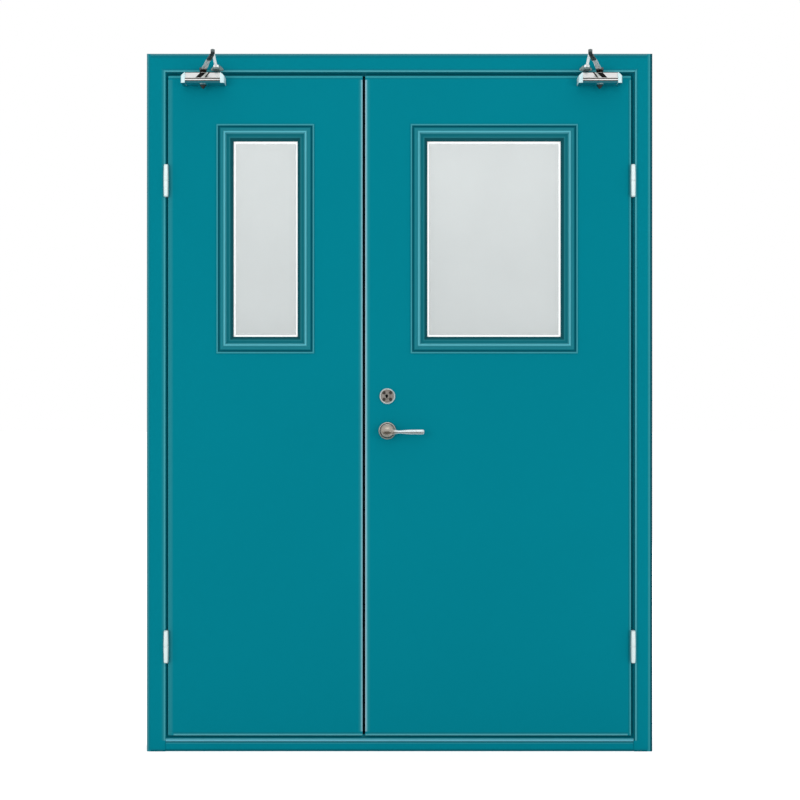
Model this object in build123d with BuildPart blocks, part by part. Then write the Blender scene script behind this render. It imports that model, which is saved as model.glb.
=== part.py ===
from build123d import *
import os

os.makedirs("parts", exist_ok=True)

# Unequal double fire door in a four-sided pressed steel frame, seen from its pull side.
# Millimetres. X runs to the right, Y away from the viewer and Z up.
# The origin is the middle of the sill's underside, at half the frame's depth.

# Frame
frame_width = 1522.0
frame_height = 2100.0
frame_depth = 110.0
frame_face = 57.0
frame_sheet = 1.6
frame_bend = 4.0
wall_return = 15.0
stop_projection = 20.0
sill_height = 39.0
sill_stop_rise = 15.0
nosing_height = 6.0
nosing_proud = 2.0
seal_width = 8.0
seal_proud = 3.0
seal_inset = 3.0
seal_joint = 1.0
wiper_carrier_width = 6.0
wiper_carrier = 1.2
wiper_lip = 2.0
wiper_inset = 7.0
wiper_clearance = 0.3

# Wall anchor holes through the soffit of each jamb, two pairs one inside the other
anchor_hole_radius = 5.5
anchor_end_inset = 250.0
inner_anchor_spacing = 600.0

# Leaves
leaf_thickness = 50.0
leaf_skin = 1.2
leaf_edge_radius = 4.0
leaf_seam = 0.6
edge_gap = 7.0
sill_gap = 8.0
stop_clearance = 8.0
meeting_gap = 7.0
meeting_bevel = 2.0
meeting_x = -107.4

# Glazed windows
left_window_width = 193.0
right_window_width = 402.0
right_window_shift = 12.0
window_height = 589.0
window_drop = 199.0
moulding_width = 50.0
moulding_lap = 29.0
moulding_lip = 3.5
moulding_groove = 3.5
moulding_groove_floor = 1.2
moulding_ridge_at = 24.5
moulding_ridge_width = 4.0
moulding_ridge = 11.0
moulding_crown = 0.8
moulding_hollow = 1.5
moulding_step_at = 38.0
moulding_step_width = 3.0
moulding_step = 2.0
moulding_sight_drop = 6.0
moulding_clearance = 0.5
glass_thickness = 20.0
glass_edge_clearance = 4.0
sealant_width = 5.0
sealant_depth = 3.5

# Lift-off hinges
hinge_height = 96.0
hinge_knuckle_radius = 7.0
hinge_pin_radius = 4.0
hinge_axis_proud = 8.5
hinge_plate = 2.0
hinge_plate_depth = 34.0
hinge_knuckle_cap = 6.0
hinge_split = 0.4
knuckle_relief = 1.5
upper_hinge_drop = 320.0
lower_hinge_rise = 270.0

# Lever set and cylinder
lever_backset = 67.0
lever_z = 965.0
cylinder_z = 1069.0
rose_radius = 27.0
rose_thickness = 7.5
rose_bevel = 1.2
cylinder_rose_radius = 24.0
cylinder_rose_thickness = 7.0
cylinder_bevel = 1.0
cylinder_plug_proud = 1.0
cylinder_plug_radius = 8.5
key_slot_width = 1.8
key_slot_height = 9.0
key_slot_depth = 5.0
lever_neck_radius = 10.0
lever_foot_radius = 14.0
lever_hub_radius = 19.5
lever_hub_swell = 5.0
lever_hub_straight = 29.0
lever_crown_radius = 12.0
lever_projection = 50.0
lever_arm_axis = 38.0
lever_drop = 3.0
lever_root_reach = 10.0
lever_root_height = 24.0
lever_waist_reach = 36.0
lever_waist_height = 9.0
lever_waist_round = 24.0
lever_grip_reach = 66.0
lever_grip_height = 15.0
lever_grip_depth = 10.0
lever_grip_chamfer = 2.5
lever_length = 111.0
lever_tip_height = 17.0
lever_tip_round = 5.0
spindle_size = 8.0
spindle_hole_radius = 8.0

# Lock edge fittings
edge_plate = 3.0
edge_plate_width = 24.0
forend_height = 240.0
strike_height = 200.0
bolt_height = 34.0
bolt_width = 13.0
bolt_depth = 14.0
bolt_proud = 1.0
flush_bolt_height = 180.0
flush_bolt_inset = 260.0
flush_slot_height = 70.0
flush_slot_width = 12.0
flush_lever_height = 46.0

# Overhead closers with scissor arms, the pinion of each measured from its hinge axis
left_pinion_reach = 113.0
right_pinion_reach = 102.0
closer_body_shift = 1.0
closer_length = 129.0
closer_cap_length = 12.0
closer_cap_height = 20.5
closer_cap_proud = 1.0
closer_cap_chamfer = 3.0
closer_height = 32.0
closer_depth = 42.0
closer_bevel_depth = 12.0
closer_bevel_height = 17.5
closer_lip = 1.0
closer_groove_height = 3.0
closer_groove_depth = 2.5
closer_bead = 6.0
closer_plate = 4.0
closer_plate_margin = 4.5
closer_top_drop = 2.0
pinion_proud = 25.0
pinion_radius = 6.0
pinion_boss_radius = 10.0
pinion_boss_height = 7.5
pinion_cap_radius = 12.5
pinion_cap_height = 14.0
pinion_cap_inset = 9.5
pinion_cap_rim = 1.0
pinion_cap_sides = 8
arm_hub_radius = 11.0
arm_hub_height = 8.0
elbow_eye_radius = 6.0
arm_root_width = 16.0
arm_waist = 8.0
arm_thickness = 5.0
arm_rise = 3.0
arm_joggle_at = 60.0
arm_joggle_run = 16.0
arm_top_cap = 2.0
elbow_run = 54.0
elbow_proud = 205.0
elbow_gap = 0.8
forearm_waist = 7.0
forearm_thickness = 7.0
shoe_run = 39.0
shoe_proud = 28.0
shoe_width = 38.0
shoe_height = 15.0
shoe_shoulder = 10.0
shoe_corner = 3.0
shoe_edge = 4.2
shoe_plate = 4.0
shoe_eye_radius = 8.0
shoe_lug_radius = 9.0
shoe_lug_thickness = 5.5
shoe_pin_radius = 5.0

# Clearances at the turning fits and between stacked faces
running_clearance = 0.05
seat_clearance = 0.3

# Places that follow from the sizes above
half_width = frame_width / 2
front_y = -frame_depth / 2
back_y = frame_depth / 2
rebate_x = half_width - frame_face
stop_x = rebate_x - stop_projection
stop_y = front_y + leaf_thickness + stop_clearance
head_z = frame_height - frame_face
head_stop_z = head_z - stop_projection
sill_stop_z = sill_height + sill_stop_rise
leaf_back_y = front_y + leaf_thickness
leaf_middle_y = front_y + leaf_thickness / 2
leaf_bottom = sill_height + sill_gap
leaf_top = head_z - edge_gap
hinge_axis_y = front_y - hinge_axis_proud
glass_recess = (leaf_thickness - glass_thickness) / 2
window_bottom = leaf_top - window_drop - window_height
window_middle_z = window_bottom + window_height / 2
upper_hinge_z = leaf_top - upper_hinge_drop
lower_hinge_z = leaf_bottom + lower_hinge_rise
anchor_middle_z = frame_height / 2
outer_anchor_spacing = frame_height - 2 * anchor_end_inset
lock_z = (lever_z + cylinder_z) / 2
lever_x = meeting_x + meeting_gap / 2 + lever_backset
closer_top = leaf_top - closer_top_drop
hub_bottom = closer_top + pinion_boss_height + seat_clearance
main_arm_top = hub_bottom + arm_rise + arm_thickness
forearm_bottom = main_arm_top + elbow_gap
lug_top = forearm_bottom - seat_clearance

SIDES = (("left", -1), ("right", 1))
FACES = (("front", -1, front_y), ("back", 1, leaf_back_y))
HINGES = (upper_hinge_z, lower_hinge_z)
FLUSH_BOLTS = (leaf_bottom + flush_bolt_inset, leaf_top - flush_bolt_inset)


def face_plane(y, outward):
    """Plane at depth y, facing the viewer for outward -1 and away from the viewer for +1."""
    return Plane(origin=(0, y, 0), x_dir=(-outward, 0, 0), z_dir=(0, outward, 0))


def point_plane(x, y, z, outward):
    """The same plane with its origin moved to a point."""
    return Plane(origin=(x, y, z), x_dir=(-outward, 0, 0), z_dir=(0, outward, 0))


def edge_plane(sign, z):
    """Plane on the bevelled meeting edge of a leaf, facing the other leaf, local x upwards."""
    edge_x = meeting_x + sign * (meeting_gap + meeting_bevel) / 2
    outwards = (-sign * leaf_thickness, meeting_bevel, 0)
    return Plane(origin=(edge_x, leaf_middle_y, z), x_dir=(0, 0, 1), z_dir=outwards)


def leaf_outline(sign):
    """Plan corners of a leaf, square at the hinge edge and bevelled at the meeting edge."""
    hinge_edge = sign * (rebate_x - edge_gap)
    meeting_edge = meeting_x + sign * meeting_gap / 2
    return (
        (hinge_edge, front_y),
        (meeting_edge, front_y),
        (meeting_edge + sign * meeting_bevel, leaf_back_y),
        (hinge_edge, leaf_back_y),
    )


def window_of(side):
    """Centre in x and opening width of a leaf's window."""
    sign = dict(SIDES)[side]
    leaf_centre = (sign * (rebate_x - edge_gap) + meeting_x + sign * meeting_gap / 2) / 2
    if side == "left":
        return leaf_centre, left_window_width
    return leaf_centre - right_window_shift, right_window_width


def edge_cuts(side):
    """Pockets in a meeting edge: height of the centre, length, width and depth."""
    bolts = [(z, bolt_height, bolt_width, bolt_depth) for z in (lever_z, cylinder_z)]
    if side == "right":
        return [(lock_z, forend_height, edge_plate_width, edge_plate)] + bolts
    pockets = [(lock_z, strike_height, edge_plate_width, edge_plate)] + bolts
    for z in FLUSH_BOLTS:
        pockets.append((z, flush_bolt_height, edge_plate_width, edge_plate))
        pockets.append((z, flush_slot_height, flush_slot_width, bolt_depth))
    return pockets


def leaf_openings(side, sign):
    """Solid to cut from a leaf: its window, the pockets in its meeting edge and the spindle hole."""
    centre_x, opening = window_of(side)
    lap = moulding_width - moulding_lap
    with BuildPart() as openings:
        with BuildSketch(point_plane(centre_x, front_y, window_middle_z, -1)):
            Rectangle(opening + 2 * lap, window_height + 2 * lap)
        extrude(amount=-leaf_thickness)
        for z, length, width, depth in edge_cuts(side):
            with BuildSketch(edge_plane(sign, z)):
                Rectangle(length, width)
            extrude(amount=-depth)
        if side == "right":
            with BuildSketch(point_plane(lever_x, front_y, lever_z, -1)):
                Circle(spindle_hole_radius)
            extrude(amount=-leaf_thickness)
    return openings.part


def frame_section(outer, inward):
    """Folded sheet section of the frame, open to the wall."""
    across = [0, 0, frame_face, frame_face, frame_face + stop_projection]
    across += [frame_face + stop_projection, 0, 0]
    depth = [front_y + wall_return, front_y, front_y, stop_y, stop_y, back_y, back_y]
    depth += [back_y - wall_return]
    corners = [(outer + inward * u, y) for u, y in zip(across, depth)]
    with BuildSketch() as section:
        with BuildLine():
            FilletPolyline(*corners, radius=frame_bend)
            offset(amount=frame_sheet, side=Side.LEFT if inward > 0 else Side.RIGHT)
        make_face()
    return section.sketch


def finish(piece, name):
    """Labels a finished piece and writes it."""
    piece.part.label = name
    export_step(piece.part, f"parts/{name}.step")


# Frame: two jambs and a head with mitred corners, and a boxed sill between the jambs
for side, sign in SIDES:
    with BuildPart() as jamb:
        with BuildSketch():
            add(frame_section(sign * half_width, -sign))
        extrude(amount=frame_height)
        mitre = Plane(origin=(sign * half_width, 0, frame_height), z_dir=(-sign, 0, 1))
        split(bisect_by=mitre, keep=Keep.BOTTOM)
        soffit = Plane(
            origin=(sign * stop_x, (stop_y + back_y) / 2, anchor_middle_z),
            x_dir=(0, 0, 1),
            z_dir=(-sign, 0, 0),
        )
        for spacing in (outer_anchor_spacing, inner_anchor_spacing):
            with BuildSketch(soffit):
                with Locations((-spacing / 2, 0), (spacing / 2, 0)):
                    Circle(anchor_hole_radius)
            extrude(amount=-frame_face / 2, mode=Mode.SUBTRACT)
    finish(jamb, f"{side}_jamb")

with BuildPart() as head:
    across_head = Plane(origin=(half_width, 0, 0), x_dir=(0, 0, 1), z_dir=(-1, 0, 0))
    with BuildSketch(across_head):
        add(frame_section(frame_height, -1))
    extrude(amount=frame_width)
    for sign in (-1, 1):
        mitre = Plane(origin=(sign * half_width, 0, frame_height), z_dir=(-sign, 0, 1))
        split(bisect_by=mitre, keep=Keep.TOP)
finish(head, "head")

with BuildPart() as sill:
    with BuildSketch(Plane.YZ) as tread:
        with BuildLine():
            Polyline(
                (front_y + nosing_proud, 0),
                (front_y + nosing_proud, sill_height - nosing_height),
                (front_y, sill_height - nosing_height),
                (front_y, sill_height),
                (stop_y, sill_height),
                (stop_y, 0),
                close=True,
            )
        make_face()
        nose = [v for v in tread.vertices() if abs(v.X - front_y) < nosing_proud / 2]
        fillet(nose, radius=0.9 * min(nosing_proud, nosing_height / 2))
    extrude(amount=rebate_x, both=True)
    with BuildSketch(Plane.YZ) as sill_stop:
        with Locations(((stop_y + back_y) / 2, sill_stop_z / 2)):
            Rectangle(back_y - stop_y, sill_stop_z)
        fillet(sill_stop.vertices().group_by(Axis.Y)[-1], radius=frame_bend)
    extrude(amount=stop_x, both=True)
    coped = [e for e in sill.edges().filter_by(Axis.Z)
             if abs(e.center().Y - stop_y) < frame_bend and abs(e.center().X) > stop_x + frame_bend]
    fillet(coped, radius=frame_bend)
finish(sill, "sill")

# Smoke seals: four strips on the stop, facing the backs of the leaves
seal_middle_x = stop_x + seal_inset + seal_width / 2
seal_bottom = sill_stop_z - seal_inset - seal_width
seal_top = head_stop_z + seal_inset + seal_width
seal_across = 2 * seal_middle_x - seal_width - 2 * seal_joint
seal_strips = (
    (-seal_middle_x, (seal_bottom + seal_top) / 2, seal_width, seal_top - seal_bottom),
    (seal_middle_x, (seal_bottom + seal_top) / 2, seal_width, seal_top - seal_bottom),
    (0, seal_top - seal_width / 2, seal_across, seal_width),
    (0, seal_bottom + seal_width / 2, seal_across, seal_width),
)
with BuildPart() as stop_seals:
    for x, z, width, height in seal_strips:
        with BuildSketch(point_plane(x, stop_y, z, -1)):
            Rectangle(width, height)
        extrude(amount=seal_proud)
    bulbs = stop_seals.edges().filter_by(Plane.XZ).group_by(Axis.Y)[0]
    fillet([e for e in bulbs if e.length > seal_width], radius=0.8 * seal_proud)
finish(stop_seals, "stop_seals")

# Wiper seal on the left leaf's meeting edge: a carrier strip with a lip that closes the gap
with BuildPart() as meeting_seal:
    seal_middle = edge_plane(-1, (leaf_bottom + leaf_top) / 2)
    seal_length = leaf_top - leaf_bottom - 2 * leaf_edge_radius
    for width, proud in ((wiper_carrier_width, wiper_carrier), (wiper_lip, meeting_gap - wiper_clearance)):
        with BuildSketch(seal_middle):
            with Locations((0, leaf_thickness / 2 - wiper_inset)):
                Rectangle(seal_length, width)
        extrude(amount=proud)
finish(meeting_seal, "meeting_seal")

# Leaves: a fire core between two steel skins folded over its edges, with the seam at mid thickness
for side, sign in SIDES:
    outline = leaf_outline(sign)
    with BuildPart() as core:
        with BuildSketch(Plane.XY.offset(leaf_bottom + leaf_skin)):
            with BuildLine():
                Polyline(*outline, close=True)
            make_face()
            offset(amount=-leaf_skin, kind=Kind.INTERSECTION, mode=Mode.REPLACE)
        extrude(amount=leaf_top - leaf_bottom - 2 * leaf_skin)
        broad_faces = core.faces().sort_by(Axis.Y)
        folded_edges = broad_faces[0].edges() + broad_faces[-1].edges()
        fillet(folded_edges, radius=leaf_edge_radius - leaf_skin)
        add(leaf_openings(side, sign), mode=Mode.SUBTRACT)
    finish(core, f"{side}_leaf_core")

    for face, outward, face_y in FACES:
        with BuildPart() as skin:
            with BuildSketch(Plane.XY.offset(leaf_bottom)):
                with BuildLine():
                    Polyline(*outline, close=True)
                make_face()
            extrude(amount=leaf_top - leaf_bottom)
            folded = skin.faces().sort_by(Axis.Y)[0 if outward < 0 else -1]
            fillet(folded.edges(), radius=leaf_edge_radius)
            add(core.part, mode=Mode.SUBTRACT)
            add(leaf_openings(side, sign), mode=Mode.SUBTRACT)
            seam = face_plane(leaf_middle_y + outward * leaf_seam / 2, outward)
            split(bisect_by=seam, keep=Keep.TOP)
        finish(skin, f"{side}_leaf_{face}_skin")

# Windows: fire glass held between two moulded frames with mitred corners, bedded in white sealant
for side, sign in SIDES:
    centre_x, opening = window_of(side)
    lap = moulding_width - moulding_lap
    outer_width = opening + 2 * moulding_width
    low_z = window_bottom - moulding_width
    high_z = window_bottom + window_height + moulding_width
    for face, outward, face_y in FACES:
        with BuildPart() as moulding:
            run = -outward * outer_width / 2
            with BuildLine() as perimeter:
                Polyline(
                    (centre_x, face_y, low_z),
                    (centre_x + run, face_y, low_z),
                    (centre_x + run, face_y, high_z),
                    (centre_x - run, face_y, high_z),
                    (centre_x - run, face_y, low_z),
                    (centre_x, face_y, low_z),
                )
            start = Plane(origin=(centre_x, face_y, low_z), x_dir=(0, 0, 1), z_dir=(-outward, 0, 0))
            with BuildSketch(start):
                with BuildLine():
                    inner_leg = moulding_lap + moulding_clearance
                    lip_end = (moulding_lip, moulding_lip)
                    groove = (moulding_lip + moulding_groove, moulding_groove_floor)
                    ridge_start = (moulding_ridge_at - moulding_ridge_width / 2, moulding_ridge)
                    ridge_end = (moulding_ridge_at + moulding_ridge_width / 2, moulding_ridge)
                    step = (moulding_step_at, moulding_step)
                    step_end = moulding_step_at + moulding_step_width
                    rise_middle = (Vector(*groove) + Vector(*ridge_start)) / 2
                    rise_middle += Vector(moulding_hollow, -moulding_hollow)
                    fall_middle = (Vector(*ridge_end) + Vector(*step)) / 2
                    fall_middle -= Vector(moulding_hollow, moulding_hollow)
                    Polyline((inner_leg, 0), (0, 0), (0, moulding_lip), lip_end, groove)
                    ThreePointArc(groove, rise_middle, ridge_start)
                    crest = (moulding_ridge_at, moulding_ridge + moulding_crown)
                    ThreePointArc(ridge_start, crest, ridge_end)
                    ThreePointArc(ridge_end, fall_middle, step)
                    Polyline(
                        step,
                        (step_end, moulding_step),
                        (moulding_width, -moulding_sight_drop),
                        (moulding_width, -glass_recess),
                        (inner_leg, -glass_recess),
                        (inner_leg, 0),
                    )
                make_face()
            sweep(path=perimeter.line, transition=Transition.RIGHT)
        finish(moulding, f"{side}_{face}_glazing_frame")

    with BuildPart() as glass:
        with BuildSketch(point_plane(centre_x, front_y + glass_recess, window_middle_z, -1)):
            edge = 2 * (lap - glass_edge_clearance)
            Rectangle(opening + edge, window_height + edge)
        extrude(amount=-glass_thickness)
    finish(glass, f"{side}_glass")

    with BuildPart() as sealant:
        for face, outward, face_y in FACES:
            bed = point_plane(centre_x, face_y - outward * glass_recess, window_middle_z, outward)
            with BuildSketch(bed):
                Rectangle(opening, window_height)
                Rectangle(opening - 2 * sealant_width, window_height - 2 * sealant_width, mode=Mode.SUBTRACT)
            extrude(amount=sealant_depth)
        slopes = sealant.edges().filter_by(Plane.XZ).group_by(Axis.Y)
        inner = [e for group in (slopes[0], slopes[-1]) for e in group
                 if abs(e.center().X - centre_x) < opening / 2 - sealant_width / 2
                 and abs(e.center().Z - window_middle_z) < window_height / 2 - sealant_width / 2]
        chamfer(inner, length=sealant_depth * 0.8)
    finish(sealant, f"{side}_glazing_sealant")

# Lift-off hinges: the frame half carries the pin, and the leaf half drops over it
for side, sign in SIDES:
    axis_x = sign * (rebate_x - edge_gap / 2)
    half = hinge_height / 2
    with BuildPart() as frame_hinges:
        for z in HINGES:
            with BuildSketch(Plane.XY.offset(z - half)):
                with Locations((axis_x, hinge_axis_y)):
                    Circle(hinge_knuckle_radius)
            extrude(amount=half - hinge_split)
            with BuildSketch(Plane.XY.offset(z - half)):
                with Locations((axis_x, hinge_axis_y)):
                    Circle(hinge_pin_radius)
            extrude(amount=hinge_height - 2 * hinge_knuckle_cap)
            plate_x = sign * (rebate_x - hinge_plate / 2)
            with BuildSketch(Plane.XY.offset(z - half)):
                with Locations((plate_x, (hinge_axis_y + front_y + hinge_plate_depth) / 2)):
                    Rectangle(hinge_plate, front_y + hinge_plate_depth - hinge_axis_y)
            extrude(amount=half - hinge_split)
            relief_y = front_y + knuckle_relief
            with BuildSketch(Plane.XY.offset(z - hinge_split)):
                with Locations((plate_x, (relief_y + front_y + hinge_plate_depth) / 2)):
                    Rectangle(hinge_plate, front_y + hinge_plate_depth - relief_y)
            extrude(amount=half + hinge_split)
    finish(frame_hinges, f"{side}_frame_hinges")

    with BuildPart() as leaf_hinges:
        for z in HINGES:
            with BuildSketch(Plane.XY.offset(z)):
                with Locations((axis_x, hinge_axis_y)):
                    Circle(hinge_knuckle_radius)
            extrude(amount=half)
            plate_x = sign * (rebate_x - edge_gap + hinge_plate / 2)
            root_y = hinge_axis_y + (hinge_knuckle_radius + hinge_pin_radius) / 2
            with BuildSketch(Plane.XY.offset(z)):
                with Locations((plate_x, (root_y + front_y + hinge_plate_depth) / 2)):
                    Rectangle(hinge_plate, front_y + hinge_plate_depth - root_y)
            extrude(amount=half)
            relief_y = front_y + knuckle_relief
            with BuildSketch(Plane.XY.offset(z - half)):
                with Locations((plate_x, (relief_y + front_y + hinge_plate_depth) / 2)):
                    Rectangle(hinge_plate, front_y + hinge_plate_depth - relief_y)
            extrude(amount=half)
            with BuildSketch(Plane.XY.offset(z)):
                with Locations((axis_x, hinge_axis_y)):
                    Circle(hinge_pin_radius + running_clearance)
            extrude(amount=half - hinge_knuckle_cap, mode=Mode.SUBTRACT)
    finish(leaf_hinges, f"{side}_leaf_hinges")

# Roses and cylinder escutcheons on both faces of the right leaf
for face, outward, face_y in FACES:
    with BuildPart() as rose:
        with BuildSketch(point_plane(lever_x, face_y, lever_z, outward)):
            Circle(rose_radius)
            Circle(lever_neck_radius + running_clearance, mode=Mode.SUBTRACT)
        extrude(amount=rose_thickness)
        rims = rose.edges().filter_by(GeomType.CIRCLE).sort_by(Edge.radius)[-2:].sort_by(Axis.Y)
        chamfer(rims[0 if outward < 0 else -1], length=rose_bevel)
    finish(rose, f"{face}_lever_rose")

    with BuildPart() as cylinder:
        with BuildSketch(point_plane(lever_x, face_y, cylinder_z, outward)):
            Circle(cylinder_rose_radius)
        extrude(amount=cylinder_rose_thickness)
        rims = cylinder.edges().filter_by(GeomType.CIRCLE).sort_by(Axis.Y)
        chamfer(rims[0 if outward < 0 else -1], length=cylinder_bevel)
        plug_plane = point_plane(lever_x, face_y + outward * cylinder_rose_thickness, cylinder_z, outward)
        with BuildSketch(plug_plane):
            Circle(cylinder_plug_radius)
        extrude(amount=cylinder_plug_proud)
        with BuildSketch(plug_plane.offset(cylinder_plug_proud)):
            Rectangle(key_slot_width, key_slot_height)
            with Locations((0, key_slot_height / 4)):
                Rectangle(2 * key_slot_width, key_slot_height / 3)
        extrude(amount=-key_slot_depth, mode=Mode.SUBTRACT)
    finish(cylinder, f"{face}_lock_cylinder")

# Lever handles on both faces, turned by one square spindle
grip_upper = [
    (lever_root_reach, lever_root_height / 2),
    (lever_waist_reach, lever_waist_height / 2),
    (lever_grip_reach, lever_grip_height / 2),
    (lever_length, lever_tip_height / 2),
]
grip_lower = [(reach, -half) for reach, half in reversed(grip_upper)]
for face, outward, face_y in FACES:
    with BuildPart() as lever:
        arm_point = (lever_x, face_y + outward * lever_arm_axis, lever_z - lever_drop)
        with BuildSketch(Plane(origin=arm_point, x_dir=(1, 0, 0), z_dir=(0, -1, 0))) as grip:
            with BuildLine():
                Polyline(*grip_upper, *grip_lower, close=True)
            make_face()
            corners = grip.vertices().sort_by(Axis.X)
            fillet(corners[2:4], radius=lever_waist_round)
            fillet(grip.vertices().sort_by(Axis.X)[-2:], radius=lever_tip_round)
        extrude(amount=lever_grip_depth / 2, both=True)
        broad_faces = lever.faces().filter_by(Axis.Y)
        chamfer(broad_faces[0].edges() + broad_faces[-1].edges(), length=lever_grip_chamfer)
        across = Plane(origin=(lever_x, face_y, lever_z), x_dir=(0, 0, 1), z_dir=(-outward, 0, 0))
        foot = rose_thickness + seat_clearance
        swell = foot + lever_hub_swell
        with BuildSketch(across):
            with BuildLine():
                Polyline(
                    (0, 0),
                    (lever_neck_radius, 0),
                    (lever_neck_radius, foot),
                    (lever_foot_radius, foot),
                    (lever_foot_radius, swell),
                    (lever_hub_radius, swell),
                    (lever_hub_radius, swell + lever_hub_straight),
                    (lever_crown_radius, lever_projection),
                    (0, lever_projection),
                    close=True,
                )
            make_face()
        revolve(axis=Axis((lever_x, face_y, lever_z), (0, 1, 0)))
    finish(lever, f"{face}_lever")

with BuildPart() as spindle:
    with BuildSketch(point_plane(lever_x, front_y, lever_z, -1)):
        Rectangle(spindle_size, spindle_size)
    extrude(amount=-leaf_thickness)
finish(spindle, "lever_spindle")

# Lock forend with its withdrawn latch and bolt, and the strike that faces it
with BuildPart() as forend:
    with BuildSketch(edge_plane(1, lock_z)):
        RectangleRounded(forend_height, edge_plate_width, edge_plate_width / 4)
        with Locations((lever_z - lock_z, 0), (cylinder_z - lock_z, 0)):
            Rectangle(bolt_height, bolt_width, mode=Mode.SUBTRACT)
    extrude(amount=-edge_plate)
finish(forend, "lock_forend")

with BuildPart() as bolts:
    for z in (lever_z, cylinder_z):
        with BuildSketch(edge_plane(1, z).offset(bolt_proud)):
            Rectangle(bolt_height - 2 * seat_clearance, bolt_width - 2 * seat_clearance)
        extrude(amount=-bolt_proud - bolt_depth)
finish(bolts, "latch_and_deadbolt")

with BuildPart() as strike:
    with BuildSketch(edge_plane(-1, lock_z)):
        RectangleRounded(strike_height, edge_plate_width, edge_plate_width / 4)
        with Locations((lever_z - lock_z, 0), (cylinder_z - lock_z, 0)):
            Rectangle(bolt_height, bolt_width, mode=Mode.SUBTRACT)
    extrude(amount=-edge_plate)
finish(strike, "strike_plate")

with BuildPart() as flush_bolts:
    for z in FLUSH_BOLTS:
        with BuildSketch(edge_plane(-1, z)):
            RectangleRounded(flush_bolt_height, edge_plate_width, edge_plate_width / 4)
            Rectangle(flush_slot_height, flush_slot_width, mode=Mode.SUBTRACT)
        extrude(amount=-edge_plate)
        with BuildSketch(edge_plane(-1, z)):
            with Locations(((flush_slot_height - flush_lever_height) / 2, 0)):
                Rectangle(flush_lever_height, flush_slot_width / 2)
        extrude(amount=-2 * edge_plate)
finish(flush_bolts, "flush_bolts")

# Closers: a bevelled body on the leaf, a shoe on the head, and a two-part arm that folds between them
closer_bottom = closer_top - closer_height
bevel_foot = closer_top - closer_bevel_height
groove_top = bevel_foot - closer_lip
groove_bottom = groove_top - closer_groove_height
bead_bottom = groove_bottom - closer_bead
body_back = front_y - closer_plate
body_front = body_back - closer_depth
body_length = closer_length - 2 * closer_cap_length
pinion_y = front_y - pinion_proud
elbow_y = front_y - elbow_proud
shoe_y = front_y - shoe_proud
PINION_REACH = {"left": left_pinion_reach, "right": right_pinion_reach}

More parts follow.
